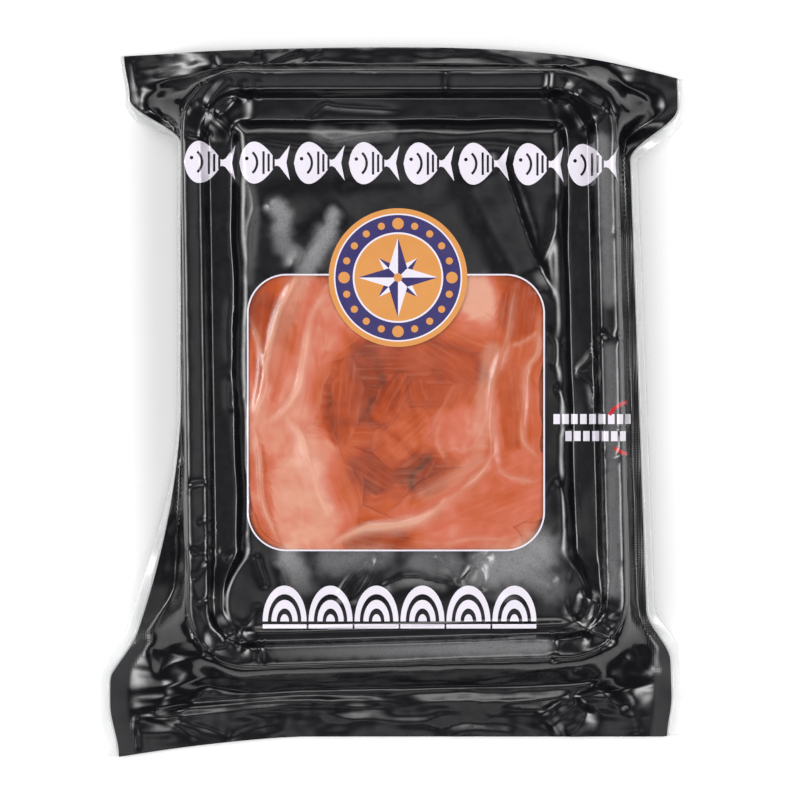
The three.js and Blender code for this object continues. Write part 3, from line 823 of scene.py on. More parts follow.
def shell_print():
    """A row of half discs with curved stripes, like scallop shells or waves"""
    loops = []
    pitch, middles = in_row(LOWER_SHELLS)
    radius = (pitch - 2) / 2 * MM_PER_PIXEL
    tall = LOWER_SHELLS["height"] * MM_PER_PIXEL - SHELL_FOOT
    arch = circle(0, 0, 1, 0, 180, step=0.08)
    for px in middles:
        x, foot = spot(px, LOWER_SHELLS["foot"])
        for ink, share in SHELL_STRIPES:
            shape = arch * [radius * share, tall * share] + [x, foot + SHELL_FOOT]
            loops.append((ink, shape))
        loops.append(("white", polygon(bar(-radius, 0, radius, 1.5), x, foot)))
    return loops


def small_print():
    """Two rows of plain dashes and two red arcs beside the window"""
    wide, tall = DASH_PIXELS
    loops = []
    for top, starts in DASH_ROWS:
        for px in starts:
            dash = bar(*from_photo(px, top + tall), *from_photo(px + wide, top))
            loops.append(("white", polygon(dash)))
    for start, end in RED_ARCS:
        loops.append(("red", arc_band(*spot(*RED_ARC_PIXEL), *RED_ARC_RADII, start, end)))
    return loops


def print_loops():
    """The whole print, the window with its white line first"""
    loops = [("white", window_edge(KEYLINE_OUTER)), ("clear", window_edge())]
    return loops + title_print() + shell_print() + small_print() + badge_print()


def window_edge(offset=WINDOW_GAP):
    """Loop round the window, at first its own edge"""
    return rounded_loop(WINDOW, offset, *WINDOW_EDGE_STEPS)


INKS = ["black", "white", "gold", "navy", "red", "clear"]


# Cutting the film into triangles


def inside(x, y, loop):
    """Whether each place lies inside a closed loop"""
    near = within(x, y, loop)
    px, py = x[near], y[near]
    odd = np.zeros(len(px), bool)
    for (ax, ay), (bx, by) in zip(loop, np.roll(loop, -1, axis=0)):
        if ay == by:
            continue
        crosses = (ay > py) != (by > py)
        odd ^= crosses & (px < (bx - ax) * (py - ay) / (by - ay) + ax)
    result = np.zeros(len(x), bool)
    result[near] = odd
    return result


class Spread:
    """Points that keep their distance from all that were taken before"""

    def __init__(self):
        self.cells = {}
        self.points = []

    def take(self, points, gap):
        reach = range(-1, 2)
        for x, y in points:
            column, row = int(x // 1), int(y // 1)
            near = (
                (x - a) ** 2 + (y - b) ** 2 < gap * gap
                for i in reach
                for j in reach
                for a, b in self.cells.get((column + i, row + j), ())
            )
            if gap and any(near):
                continue
            self.cells.setdefault((column, row), []).append((x, y))
            self.points.append((x, y))


def crease_rows():
    """Points along each crease: its line, its flanks and its feet"""
    rows = []
    for height, width, route in ROUTES:
        left, right = crease_widths(width)
        if max(left, right) > WIDEST_CREASE:
            continue
        step = np.gradient(route, axis=0)
        length = np.hypot(step[:, 0], step[:, 1])[:, None]
        normal = np.column_stack([-step[:, 1], step[:, 0]]) / length
        rows.append(route)
        for share in (0.5, 1.1):
            rows.append(route + normal * left * share)
            rows.append(route - normal * right * share)
    return rows


def film_points(loops):
    """All points of the front film, and the edges that the print's loops make"""
    spread = Spread()
    edges = []
    for loop in loops:
        first = len(spread.points)
        spread.take(loop, 0)
        count = len(loop)
        edges += [(first + i, first + (i + 1) % count) for i in range(count)]
    for row in crease_rows():
        spread.take(row, CREASE_GAP)
    for offset in RIM_LOOPS:
        spread.take(tray_loop(offset, 18, 130, 190), RIM_GAP)
    for target in MOAT_LOOPS:
        spread.take(moat_loop(target), MOAT_GAP)
    # Staggered rows over the whole pack, as in a lattice of even triangles
    for k, y in enumerate(np.arange(-125, 125, FILM_STEP * 0.866)):
        x = np.arange(-104 + (k % 2) * FILM_STEP / 2, 104, FILM_STEP)
        spread.take(zip(x, np.full(len(x), y)), PLAIN_GAP)
    return spread.points, edges


def cut_film():
    """The whole front film as points, triangles and an ink for each triangle"""
    printed = print_loops()
    points, edges = film_points([OUTLINE] + [loop for _, loop in printed])
    flat, _, faces, *_ = geometry.delaunay_2d_cdt([Vector(p) for p in points], edges, [], 0, 1e-5)
    flat = np.array([tuple(p) for p in flat])
    faces = np.array([f for f in faces if len(f) == 3])
    a, b, c = flat[faces[:, 0]], flat[faces[:, 1]], flat[faces[:, 2]]
    middle = (a + b + c) / 3
    area = np.cross(b - a, c - a)
    faces = np.where((area < 0)[:, None], faces[:, ::-1], faces)
    kept = inside(middle[:, 0], middle[:, 1], OUTLINE)
    faces, middle = faces[kept], middle[kept]
    ink = np.zeros(len(faces), int)
    for name, loop in printed:
        ink[inside(middle[:, 0], middle[:, 1], loop)] = INKS.index(name)
    window = inside(middle[:, 0], middle[:, 1], printed[1][1])
    return ring(flat, film_height(*flat.T)), faces, ink, window


# Meshes


def mesh_piece(name, vertices, faces, materials, indices=None):
    """A piece from vertices in millimetres, its unused vertices left out"""
    used, faces = np.unique(np.asarray(faces).ravel(), return_inverse=True)
    vertices = np.asarray(vertices)[used] * MM
    mesh = bpy.data.meshes.new(name)
    mesh.from_pydata(vertices.tolist(), [], faces.reshape(-1, 3).tolist())
    for material in materials:
        mesh.materials.append(material)
    if indices is not None:
        mesh.polygons.foreach_set("material_index", np.asarray(indices, np.int32))
    mesh.shade_smooth()
    piece = bpy.data.objects.new(name, mesh)
    bpy.context.scene.collection.objects.link(piece)
    return piece


def ring_faces(rings, count, first=0, closed=True):
    """Triangles that join rings or rows of points, each one after the one before"""
    faces = []
    i = np.arange(count if closed else count - 1)
    j = (i + 1) % count
    for r in range(rings - 1):
        a = first + r * count
        b = a + count
        faces.append(np.column_stack([a + i, b + i, a + j]))
        faces.append(np.column_stack([a + j, b + i, b + j]))
    return np.concatenate(faces)


def places(piece):
    """Where a piece's vertices are, in millimetres"""
    return np.array([v.co for v in piece.data.vertices]) / MM


def attribute(piece, name, values):
    """Gives each vertex of a piece a value, which its material reads"""
    layer = piece.data.attributes.new(name, "FLOAT", "POINT")
    layer.data.foreach_set("value", np.asarray(values, np.float32))


def merge(piece):
    """Joins the vertices that lie in one place"""
    bpy.ops.object.select_all(action="DESELECT")
    bpy.context.view_layer.objects.active = piece
    piece.select_set(True)
    bpy.ops.object.mode_set(mode="EDIT")
    bpy.ops.mesh.select_all(action="SELECT")
    bpy.ops.mesh.remove_doubles(threshold=SAME_POINT * MM)
    bpy.ops.object.mode_set(mode="OBJECT")


FLAP_SHARES = (0.985, 0.93, 0.86, 0.78, 0.7, 0.62, 0.55, 0.48, 0.4, 0.32, 0.24, 0.16)
# Down the tray's wall and in under its floor: distance from the rim's centreline, and height
WALL_RINGS = ((2.6, 11.5), (0.4, 8), (-2.6, 4), (-5, 1.2), (-6.4, 0.3), (-8.5, 0), (-12, 0))
NEAR_MIDDLE = 0.004  # share of the way out at which a face of rings ends


def back_rings():
    """Rings from the film's edge under the flaps, down the tray's wall and in under its floor"""
    wall = tray_loop(RIM_HALF_WIDTH + 0.2)
    rings = [ring(OUTLINE, film_height(*OUTLINE.T))]
    for share in FLAP_SHARES:
        flat = lerp(wall, OUTLINE, share)
        rings.append(ring(flat, np.maximum(film_height(*flat.T) - BACK_FILM, 0.25)))
    for offset, height in WALL_RINGS:
        flat = tray_loop(offset)
        sag = 0.35 * wander(*flat.T, 12, 21) * (height > 1)
        rings.append(ring(flat, np.minimum(height + sag, rings[-1][:, 2])))
    middle = np.array([TRAY["x"], TRAY["y"]])
    for share in (0.6, 0.2, NEAR_MIDDLE):
        rings.append(ring(lerp(middle, rings[-1][:, :2], share), 0.0))
    return rings


def recess_rings():
    """Rings from the floor under the fish, up the side and in to the window's edge"""
    edge, under = window_edge(), window_edge(1.4)
    middle = np.array([WINDOW["x"], WINDOW["y"]])
    rings = [ring(lerp(middle, under, share), RECESS_FLOOR) for share in (NEAR_MIDDLE, 0.5)]
    rings.append(ring(under, RECESS_FLOOR))
    rings.append(ring(under, film_height(*under.T) - 0.5))
    return rings + [ring(edge, film_height(*edge.T))]


def weld_zone(x, y):
    """1 where the two films are welded in a fine net pattern, near the pack's outer edges"""
    from_right = right_edge(y) - x
    from_left = x - left_edge(y)
    right = smooth(-from_right, -6.2, -5.6) * (x > 0) * (1 - smooth(y, 60, 80))
    left = smooth(-from_left, -7, -5.5) * smooth(-y, 60, 66)
    return np.clip(np.maximum(right, left), 0, 1)


def make_pouch(materials):
    """Front film with its print and, joined along the outer edge, the back film and the tray"""
    vertices, faces, ink, window = cut_film()
    parts, groups = [vertices], [faces[~window]]
    for rings in (back_rings(), recess_rings()):
        groups.append(ring_faces(len(rings), len(rings[0]), sum(len(part) for part in parts)))
        parts.append(np.concatenate(rings))
    all_faces = np.concatenate(groups)
    inks = np.zeros(len(all_faces), int)
    inks[: len(groups[0])] = ink[~window]
    shades = [materials[name] for name in INKS]
    pouch = mesh_piece("pouch_film", np.concatenate(parts), all_faces, shades[:5], inks)
    merge(pouch)
    film = mesh_piece("window_film_clear", vertices, faces[window], shades, ink[window])
    for piece in (pouch, film):
        x, y, _ = places(piece).T
        attribute(piece, "weld", weld_zone(x, y))
        # Paleness of the film: partly haze, partly painted sheen and highlights
        attribute(piece, "haze_and_sheen", haze_and_sheen(x, y))
        smooth_by_height(piece)
    return pouch, film


def smooth_by_height(piece):
    """Shades the front film by its true slope, also where it folds under at an edge"""
    x, y, z = places(piece).T
    normals = np.array([v.normal for v in piece.data.vertices])
    front = np.abs(film_height(x, y) - z) < ON_FILM
    normals[front] = film_normals(x[front], y[front])
    piece.data.normals_split_custom_set_from_vertices(normals.tolist())


SEAMS = {
    # edge of the print beside it, its ends, the way outwards and the steepest slope in radians
    "left": (left_edge, BOTTOM_LEFT[1], TOP_LEFT[1], -1, 1.25),
    "right": (right_edge, BOTTOM_RIGHT[1], TOP_RIGHT[1], 1, 0.9),
}


def make_seam(side, material):
    """Clear welded edge beside the print, a thin strip that follows it"""
    edge_at, low, high, outward, tucked = SEAMS[side]
    y = np.append(along_y(low, high), high)
    x = edge_at(y)
    slope = (edge_at(y + 1) - edge_at(y - 1)) / 2
    beyond = rim_offset(x, y) - RIM_HALF_WIDTH
    flat = smooth(beyond, 2, 15) * (1 - smooth(y, 96, 108))
    droop = lerp(tucked, 0.1, flat)
    sideways = np.cos(droop) / np.hypot(1, slope)
    way = np.column_stack([outward * sideways, -outward * slope * sideways, -np.sin(droop)])
    edge = np.column_stack([x, y, film_height(x, y) - BACK_FILM])
    columns = []
    for share in np.linspace(0, 1, SEAM_COLUMNS):
        column = edge + way * (SEAM_GAP + SEAM_WIDTH * share)
        column[:, 2] += 0.12 * wander(y, column[:, 0], 3.5, 31) * share
        column[:, 2] = np.maximum(column[:, 2], 0.35)
        columns.append(column)
    faces = ring_faces(SEAM_COLUMNS, len(y), closed=False)
    if side == "left":
        faces = faces[:, ::-1]
    seam = mesh_piece(f"clear_edge_{side}", np.concatenate(columns), faces, [material])
    thicken(seam, SEAM_THICKNESS)
    return seam


def thicken(piece, thickness):
    """Gives a sheet its thickness, below its top face"""
    bpy.context.view_layer.objects.active = piece
    solid = piece.modifiers.new("thickness", "SOLIDIFY")
    solid.thickness = thickness * MM
    solid.offset = -1
    bpy.ops.object.modifier_apply(modifier=solid.name)


# The fish

TONES = [
    # place in the photo's pixels, reach, and tone from pale pink (0) to deep orange (1)
    (290, 400, 60, 0.24),
    (300, 500, 50, 0.22),
    (265, 316, 26, 0.85),
    (262, 365, 14, 0.6),
    (262, 470, 14, 0.55),
    (262, 525, 16, 0.5),
    (330, 330, 26, 0.3),
    (360, 356, 20, 0.85),
    (342, 400, 26, 0.9),
    (376, 386, 24, 0.75),
    (418, 372, 36, 0.62),
    (462, 360, 26, 0.66),
    (446, 330, 26, 0.5),
    (482, 300, 18, 0.0),
    (470, 318, 14, 0.2),
    (520, 292, 22, 0.75),
    (524, 350, 26, 0.5),
    (530, 420, 24, 0.4),
    (466, 420, 26, 0.32),
    (440, 440, 18, 0.4),
    (360, 478, 24, 0.9),
    (398, 436, 18, 0.7),
    (424, 474, 20, 0.95),
    (384, 510, 22, 0.35),
    (440, 508, 24, 0.3),
    (500, 500, 34, 0.42),
    (520, 525, 30, 0.36),
    (374, 540, 26, 0.72),
    (300, 300, 22, 0.36),
]
SLICES = [
    # x, y, top z, length, width, thickness, turn, curl, how much deeper its tone is
    (-38, 12, 18, 74, 30, 6, 80, 4, 0.0),
    (-41, 34, 18, 26, 20, 5, 60, 2, 0.1),
    (-20, 27, 18, 52, 26, 6, 38, -3, -0.04),
    (-30, -30, 18, 52, 34, 6, 112, 4, -0.05),
    (-43, -18, 18, 48, 18, 5, 96, 2, 0.03),
    (-16, -44, 18, 62, 20, 5, -8, 4, 0.05),
    (12, -48, 18, 64, 16, 5, 4, -2, 0.02),
    (27, -36, 18, 70, 28, 6, 24, -4, 0.0),
    (44, -14, 18, 54, 18, 5, 96, -2, 0.05),
    (43, 16, 18, 64, 20, 6, 82, -3, 0.0),
    (40, 38, 18, 30, 20, 5, -20, 2, 0.05),
    (22, 32, 18, 58, 28, 6, 160, 4, -0.03),
    (18, 17, 17, 46, 20, 5, 150, 5, 0.05),
    (28, 2, 17, 48, 24, 6, 64, 3, 0.0),
    (-19, 2, 16.6, 46, 16, 6, 86, 3, 0.0),
    (-8, 14, 15.4, 24, 13, 6, 12, 1, 0.0),
    (0, 3, 15.9, 26, 14, 6, 62, 2, 0.0),
    (9, 7, 15.7, 24, 13, 6, 108, 1, 0.05),
    (4, -12, 16.2, 26, 19, 6, 44, 2, -0.05),
    (16, -13, 15.9, 24, 15, 6, 140, 2, 0.0),
    (-11, -24, 16.4, 28, 16, 6, -30, 2, 0.05),
    (10, -27, 15.9, 24, 12, 6, 62, 2, 0.05),
]
FLESH_PIECES = [
    # place and half sizes in the photo's pixels, turn, and tone of a piece with a clear outline
    (446, 374, 46, 38, -10, 0.64),
    (366, 378, 20, 36, 10, 0.78),
    (337, 420, 14, 28, 10, 0.72),
    (372, 474, 26, 20, -15, 0.76),
    (428, 476, 15, 24, 15, 0.76),
    (402, 440, 18, 20, 0, 0.5),
    (462, 434, 15, 32, 5, 0.3),
    (478, 300, 14, 20, 0, 0.02),
    (516, 314, 20, 28, 0, 0.74),
    (266, 306, 14, 18, 0, 0.78),
    (376, 541, 36, 12, 5, 0.74),
    # Painted shade: the long thin bands from here on darken the flesh beside the window's folds
    (286, 350, 58, 7, 76, 0.56),
    (262, 350, 48, 5, 84, 0.74),
    (265, 482, 44, 6, 99, 0.56),
    (510, 400, 60, 12, 94, 0.58),
]
FILM_CLEARANCE = 0.55  # from the film's broad form down to the highest slice
SLICE_STEP = 0.025  # how much deeper each slice lies than the one before
HEM = 0.2  # the slices end this far inside the window
PIT_PIXEL = (388, 425)
PIT_DEPTH = 1.0
# The core's side and underside: distance outside the window's edge, and height
CORE_SIDE = ((0.6, 12.5), (0.6, 6), (0.1, 4.5), (-20, 4.5), (-46, 4.5))
PIECE_EDGE = 0.1  # softness of the outlines of FLESH_PIECES, as a share of their size
PIECE_STRENGTH = 0.75
DEEPEST_FLESH = 0.95  # only the painted shade in the gaps between pieces is darker
SHADED_GAPS = [
    # depth of painted shade, width and route of the gaps between pieces in the hollow
    (0.12, 1.1, [(343, 330), (350, 344), (362, 353)]),
    (0.2, 1.3, [(338, 418), (352, 424), (364, 418), (372, 400)]),
    (0.2, 1.3, [(364, 420), (384, 428), (402, 442), (413, 456)]),
    (0.22, 0.9, [(434, 450), (424, 464), (412, 476), (413, 502)]),
    (0.14, 1.1, [(394, 368), (398, 390), (392, 410)]),
    (0.14, 1.1, [(406, 372), (408, 396), (414, 414)]),
    (0.16, 1.8, [(326, 362), (330, 400), (336, 440)]),
    (0.14, 1.6, [(346, 450), (356, 474), (376, 490), (398, 496)]),
    (0.12, 1.4, [(412, 336), (440, 344), (470, 354), (484, 378)]),
    (0.18, 1.5, [(380, 372), (386, 384), (400, 372)]),
    (0.1, 1.4, [(500, 494), (470, 500), (440, 512), (420, 520)]),
]


def gap_depth_and_shade(x, y):
    """How much painted shade darkens the flesh in the gaps between its pieces"""
    depth = np.zeros(len(x))
    for amount, width, route in SHADED_GAPS:
        aside, share = against_route(x, y, smooth_route(route))
        wavering = width * (1 + 0.4 * wander(x, y, 3, 61))
        line = amount * bump(aside, 0, wavering) * (0.3 + 0.7 * smooth(share, 0, 0.2))
        depth = np.maximum(depth, line)
    return depth


def flesh_tone(x, y):
    """Tone of the fish at a place, an even blend of the tones seen in the photo"""
    total = np.full(len(x), 0.02)
    tone = total * 0.35
    for px, py, reach, value in TONES:
        tx, ty = from_photo(px, py)
        weight = np.exp(-((x - tx) ** 2 + (y - ty) ** 2) / (reach * MM_PER_PIXEL) ** 2)
        total += weight
        tone += weight * value
    patches = 0.12 * wander(x, y, 6, 62) + 0.12 * wander(x, y, 2.2, 63)
    blend = tone / total
    for px, py, half_length, half_width, turn, value in FLESH_PIECES:
        cx, cy = from_photo(px, py)
        u, v = turned(x - cx, y - cy, turn)
        u, v = u / (half_length * MM_PER_PIXEL), v / (half_width * MM_PER_PIXEL)
        out = np.hypot(u, v) + 0.2 * wander(x, y, 5, 64)
        blend = lerp(blend, value, PIECE_STRENGTH * smooth(1 - out, 0, PIECE_EDGE))
    blend = blend + 0.4 * (blend - 0.46)
    # Painted shade darkens the gaps between pieces
    return 0.75 * np.minimum(blend + patches, DEEPEST_FLESH) + gap_depth_and_shade(x, y)


def film_clearance(x, y):
    """The highest that the fish may stand"""
    return broad_height(x, y) - FILM_CLEARANCE


def swollen(values, power):
    """Values from -0.5 to 0.5, pushed outwards"""
    return 0.5 * np.sign(values) * np.abs(2 * values) ** power


def make_slice(number, values):
    x, y, top, length, width, thickness, turn, curl, deeper = values
    bpy.ops.mesh.primitive_uv_sphere_add(segments=64, ring_count=44, radius=0.5)
    piece = bpy.context.object
    piece.name = f"slice_{number}"
    unit = np.array([v.co for v in piece.data.vertices])
    unit = unit[:, [2, 1, 0]] * [1, 1, -1]
    along = swollen(unit[:, 0], 0.85)
    across = swollen(unit[:, 1], 0.75)
    up = swollen(unit[:, 2], 0.7)
    across = across * (1 + 0.22 * wander(along * 5, np.full(len(along), number * 3.7), 1, 5))
    u = along * length
    v = across * width + curl * ((2 * along) ** 2 - 0.4)
    v += 1.6 * wander(u, v, 9, number + 0.5)
    u += 1.2 * wander(v, u, 7, number + 7.5)
    angle = math.radians(turn)
    px = x + u * math.cos(angle) - v * math.sin(angle)
    py = y + u * math.sin(angle) + v * math.cos(angle)
    pz = top - thickness / 2 + up * thickness + 0.5 * wander(px, py, 6, number + 3)
    # What would stick out past the window is drawn back inside
    pull = np.minimum(-box_distance(WINDOW, px, py), HEM) - HEM
    away = np.hypot(px - WINDOW["x"], py - WINDOW["y"]) + 1e-6
    px += (px - WINDOW["x"]) / away * pull
    py += (py - WINDOW["y"]) / away * pull
    highest = film_clearance(px, py) - SLICE_STEP * number
    # The slices also sink where the gaps are painted with shade
    pz = np.minimum(pz, highest) - 1.6 * gap_depth_and_shade(px, py)
    piece.data.vertices.foreach_set("co", np.column_stack([px, py, pz]).ravel() * MM)
    piece.data.update()
    attribute(piece, "along", u)
    attribute(piece, "across", v)
    attribute(piece, "tone", flesh_tone(px, py) + deeper)
    return piece


def make_fish(material):
    """Slices pressed flat under the film, over a core of pressed fish"""
    pieces = [make_slice(number, values) for number, values in enumerate(SLICES)]
    bpy.ops.object.select_all(action="DESELECT")
    for piece in pieces:
        piece.select_set(True)
    bpy.context.view_layer.objects.active = pieces[0]
    bpy.ops.object.join()
    slices = bpy.context.object
    slices.name = slices.data.name = "salmon_slices"
    slices.data.materials.clear()
    slices.data.materials.append(material)
    slices.data.shade_smooth()
    return slices, make_core(material)


def make_core(material):
    """Pressed fish under the slices, which sinks where the photo shows a hollow between them"""
    middle = np.array([WINDOW["x"], WINDOW["y"]])
    pit_x, pit_y = from_photo(*PIT_PIXEL)
    edge = window_edge(0.6)
    rings = []
    for share in (0.01, *np.linspace(0.05, 0.98, 40)):
        flat = lerp(middle, edge, share)
        x, y = flat.T
        pit = bump(x, pit_x, 19) * bump(y, pit_y, 21)
        height = film_clearance(x, y) - 0.8 - PIT_DEPTH * pit + 0.2 * wander(x, y, 4, 42)
        rings.append(ring(flat, height))
    for offset, height in CORE_SIDE:
        rings.append(ring(window_edge(offset), height))
    faces = ring_faces(len(rings), len(edge))
    core = mesh_piece("salmon_core", np.concatenate(rings), faces, [material])
    x, y, _ = places(core).T
    attribute(core, "along", x)
    attribute(core, "across", y)
    attribute(core, "tone", flesh_tone(x, y) + 0.1)
    return core


# Materials

NET_PITCH = 0.9  # of the pattern that the hot bars press into the welded film
WAVE_NODE_TURNS = 20  # Blender's wave pattern turns this many radians in one unit
PAPER_FIBRE = 1.11


def add(tree, kind, inputs=None, **settings):
    """Adds a shader node with its settings. An input is a value or the output of another node."""
    made = tree.nodes.new("ShaderNode" + kind)
    for name, value in settings.items():
        setattr(made, name, value)
    for name, value in (inputs or {}).items():
        if isinstance(value, bpy.types.NodeSocket):
            tree.links.new(value, made.inputs[name])
        else:
            made.inputs[name].default_value = value
    return made


def new_material(name):
    """An empty material, its node tree and the place on the piece"""
    material = bpy.data.materials.new(name)
    material.use_nodes = True
    tree = material.node_tree
    tree.nodes.clear()
    place = add(tree, "TexCoord").outputs["Object"]
    return material, tree, place


def clouds(tree, place, size, detail):
    """Soft random values, in spots of about this size"""
    inputs = {"Vector": place, "Scale": 1 / (size * MM), "Detail": detail}
    return add(tree, "TexNoise", inputs).outputs["Fac"]


def mapped(tree, value, start=0.0, end=1.0, low=0.0, high=1.0):
    """A value from low to high while the given one goes from start to end"""
    inputs = {"Value": value, "From Min": start, "From Max": end, "To Min": low, "To Max": high}
    return add(tree, "MapRange", inputs).outputs["Result"]


def calculate(tree, operation, *values):
    return add(tree, "Math", dict(enumerate(values)), operation=operation).outputs[0]


def read(tree, name):
    """The value that a piece holds at each of its points under this name"""
    return add(tree, "Attribute", attribute_name=name).outputs["Fac"]


def blend(tree, share, first, second):
    """Colour between two others"""
    inputs = {"Factor": share, "A": first, "B": second}
    return add(tree, "Mix", inputs, data_type="RGBA").outputs["Result"]


def relief(tree, height, depth, strength=1.0, **over):
    """Bumps of this depth in millimetres, on top of other ones if their Normal is given"""
    inputs = {"Height": height, "Distance": depth * MM, "Strength": strength, **over}
    return add(tree, "Bump", inputs).outputs["Normal"]


def finish_surface(tree, shader):
    """Makes a shader the material's surface"""
    add(tree, "OutputMaterial", {"Surface": shader.outputs[0]})


def film_surface(tree, place):
    """Bump of the film: slow waves, small wrinkles and the welded net, and its uneven gloss"""
    waves = clouds(tree, place, 9, 1.0)
    small = clouds(tree, place, 2.2, 2.0)
    normal = relief(tree, waves, 0.25)
    normal = relief(tree, small, 0.025, Normal=normal)
    bands = {"Vector": place, "Scale": 1 / (NET_PITCH * MM) / WAVE_NODE_TURNS * 2 * math.pi}
    net = [add(tree, "TexWave", bands, bands_direction=axis).outputs["Fac"] for axis in "XY"]
    welded = calculate(tree, "MULTIPLY", calculate(tree, "MULTIPLY", *net), read(tree, "weld"))
    normal = relief(tree, welded, 0.09, Normal=normal)
    return normal, mapped(tree, small, 0.3, 0.7, 0.13, 0.2)


def printed_film(name, ink, worn, sheen_colour=None):
    """Polyethylene film printed on its inside: a smooth gloss face that shows every wrinkle"""
    material, tree, place = new_material(name)
    normal, rough = film_surface(tree, place)
    colour = blend(tree, clouds(tree, place, 14, 3.0), srgb(ink), srgb(worn))
    # Painted sheen: a paler grey where the film is marked, partly haze, partly painted highlights
    if sheen_colour:
        uneven = mapped(tree, clouds(tree, place, 0.7, 2.0), 0.3, 0.5, 0.72)
        haze_and_sheen_share = calculate(tree, "MULTIPLY", uneven, read(tree, "haze_and_sheen"))
        colour = blend(tree, haze_and_sheen_share, colour, srgb(sheen_colour))
    shader = {"Base Color": colour, "Roughness": rough, "Normal": normal, "IOR": 1.52}
    shader |= {"Coat Weight": 0.25, "Coat Roughness": 0.06}
    finish_surface(tree, add(tree, "BsdfPrincipled", shader))
    return material


def clear_film(name, haze_low, haze_and_sheen_high, haze_and_sheen_colour):
    """Clear polyethylene film, uncoloured, with a faint milky haze where it stands off the fish and
    a painted sheen along the window's folds
    """
    material, tree, place = new_material(name)
    normal, rough = film_surface(tree, place)
    # Haze where the film stands off the fish, and painted sheen along the window's folds
    haze_and_sheen_share = mapped(tree, read(tree, "haze_and_sheen"), low=haze_low, high=haze_and_sheen_high)
    white = (1, 1, 1, 1)
    through = add(tree, "BsdfTransparent", {"Color": white})
    milky_sheen = add(tree, "BsdfDiffuse", {"Color": srgb(haze_and_sheen_colour), "Normal": normal})
    body = add(tree, "MixShader", {"Fac": haze_and_sheen_share, 1: through.outputs[0], 2: milky_sheen.outputs[0]})
    gloss = add(tree, "BsdfGlossy", {"Color": white, "Roughness": rough, "Normal": normal})
    # How much of the light a thin film mirrors, the same from above and from below
    facing = add(tree, "LayerWeight", {"Blend": 0.5, "Normal": normal}).outputs["Facing"]
    steep = calculate(tree, "POWER", facing, 5.0)
    mirror = calculate(tree, "MULTIPLY_ADD", steep, 0.92, 0.045)
    film = {"Fac": mirror, 1: body.outputs[0], 2: gloss.outputs[0]}
    finish_surface(tree, add(tree, "MixShader", film))
    return material


FLESH_COLOURS = (
    # tone and colour, from pale pink flesh to the brown of the painted shade in the gaps
    (0.0, "#DC9E84"),
    (0.2, "#CE6C52"),
    (0.4, "#BE5526"),
    (0.6, "#A84010"),
    (0.75, "#8E3208"),
    (1.0, "#5A2A12"),
)


def salmon_flesh():
    """Cold-smoked salmon: moist, with pale fat lines between the flakes"""
    material, tree, place = new_material("smoked_salmon_flesh")
    ramp = add(tree, "ValToRGB", {"Fac": read(tree, "tone")})
    stops = ramp.color_ramp.elements
    while len(stops) < len(FLESH_COLOURS):
        stops.new(0.5)
    for stop, (position, code) in zip(stops, FLESH_COLOURS):
        stop.position = position
        stop.color = srgb(code)
    patch = mapped(tree, clouds(tree, place, 12, 4.0), 0.45, 0.75, high=0.18)
    colour = blend(tree, patch, ramp.outputs["Color"], srgb("#D07E64"))
    long_way = calculate(tree, "MULTIPLY", read(tree, "along"), 0.05)
    short_way = calculate(tree, "MULTIPLY", read(tree, "across"), 0.8)
    streak_place = add(tree, "CombineXYZ", {"X": long_way, "Y": short_way}).outputs[0]
    streaks = add(tree, "TexNoise", {"Vector": streak_place, "Scale": 1.0, "Detail": 3.0})
    thin = mapped(tree, streaks.outputs["Fac"], 0.5, 0.72, high=0.2)
    colour = blend(tree, thin, colour, srgb("#DB9679"))
    normal = relief(tree, clouds(tree, place, 1.4, 3.0), 0.15, 0.6)
    shader = {"Base Color": colour, "Roughness": 0.38, "Normal": normal, "IOR": 1.4}
    shader["Specular IOR Level"] = 0.15
    finish_surface(tree, add(tree, "BsdfPrincipled", shader))
    return material


def floor_material():
    """Matt white studio paper"""
    material, tree, place = new_material("studio_paper")
    fibre = clouds(tree, place, PAPER_FIBRE, 1.0)
    colour = blend(tree, fibre, srgb("#FAFAFA"), srgb("#FFFFFF"))
    finish_surface(tree, add(tree, "BsdfPrincipled", {"Base Color": colour, "Roughness": 0.9}))
    return material


# Studio


def make_floor():
    """White paper under the pack, which is left out of the part"""
    bpy.ops.mesh.primitive_plane_add(size=6)
    floor = bpy.context.object
    floor.name = "studio_floor"
    floor.data.materials.append(floor_material())


LIGHTS = [
    # the way each soft light lies, its strength and how narrow it is
    ((-0.68, 0.12, 0.72), 11.0, 38),
    ((0.68, -0.12, 0.72), 11.0, 38),
    ((0.0, 0.68, 0.72), 4.0, 40),
    ((0.0, -0.68, 0.72), 4.0, 40),
    ((0.0, 0.0, 1.0), 0.85, 70),
]
ROOM_LIGHT = 0.05


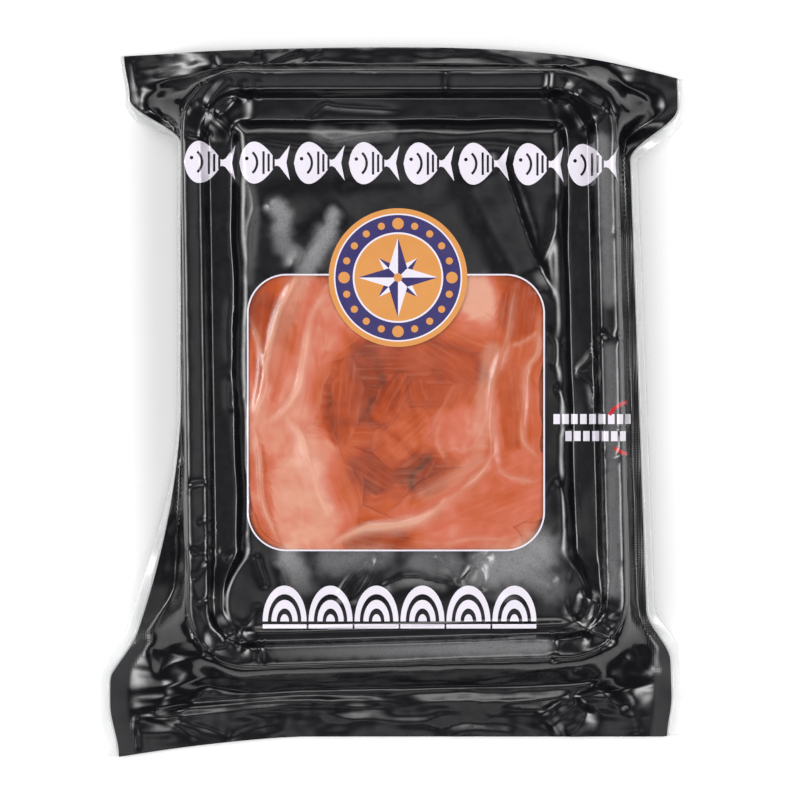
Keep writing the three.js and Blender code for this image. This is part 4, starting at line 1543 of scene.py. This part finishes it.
def make_studio():
    """Wide soft lights to the left and right, a dim one over the pack and a dark room round them"""
    make_floor()
    world = bpy.data.worlds.new("soft_studio")
    bpy.context.scene.world = world
    world.use_nodes = True
    tree = world.node_tree
    tree.nodes.clear()
    way = add(tree, "TexCoord").outputs["Generated"]
    total = ROOM_LIGHT
    for place, strength, narrow in LIGHTS:
        towards = {0: way, 1: Vector(place).normalized()}
        facing = add(tree, "VectorMath", towards, operation="DOT_PRODUCT").outputs["Value"]
        lobe = calculate(tree, "POWER", calculate(tree, "MAXIMUM", facing, 0.0), narrow)
        total = calculate(tree, "MULTIPLY_ADD", lobe, strength, total)
    light = add(tree, "Background", {"Color": (1, 1, 1, 1), "Strength": total})
    add(tree, "OutputWorld", {"Surface": light.outputs[0]})
    bpy.context.scene.view_settings.view_transform = "Standard"


PRINT_LEVEL = 0.012  # metres
CAMERA_DISTANCE = 1.5377  # metres: there 276.8 mm fill the picture of a 200 mm lens


def make_camera():
    """Looks straight down on the middle of the photo"""
    camera = bpy.data.cameras.new("camera")
    camera.lens = 200
    camera.sensor_width = 36
    eye = bpy.data.objects.new("camera", camera)
    bpy.context.scene.collection.objects.link(eye)
    x, y = spot(PHOTO_CENTRE_PIXEL, PHOTO_CENTRE_PIXEL)
    eye.location = (x * MM, y * MM, PRINT_LEVEL + CAMERA_DISTANCE)
    bpy.context.scene.camera = eye


# Assembly


def main():
    make_camera()
    make_studio()
    materials = {
        # The black print's last colour is the grey of its painted sheen
        "black": printed_film("gloss_film_black_print", "#0A0A0E", "#111116", "#8E8D8F"),
        "white": printed_film("gloss_film_white_print", "#F0EAF4", "#E4DEEC"),
        "gold": printed_film("gloss_film_gold_print", "#E09A50", "#D68E46"),
        "navy": printed_film("gloss_film_navy_print", "#33296C", "#2B2260"),
        "red": printed_film("gloss_film_red_print", "#C8242C", "#B41E26"),
        # Peach painted sheen along the window's folds, with some haze
        "clear": clear_film("clear_window_film", 0.0, 0.52, "#FFCBB0"),
    }
    edge_film = clear_film("clear_welded_film", 0.15, 0.3, "#F4F6F8")
    flesh = salmon_flesh()
    pouch, window = make_pouch(materials)
    seams = {side: make_seam(side, edge_film) for side in SEAMS}
    slices, core = make_fish(flesh)

    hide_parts("pouch")
    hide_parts("window_film")
    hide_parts("salmon_trimmings")
    for side, seam in seams.items():
        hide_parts(f"seam_{side}")
    for piece in (pouch, window, slices, core, *seams.values()):
        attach(piece, "root")


main()
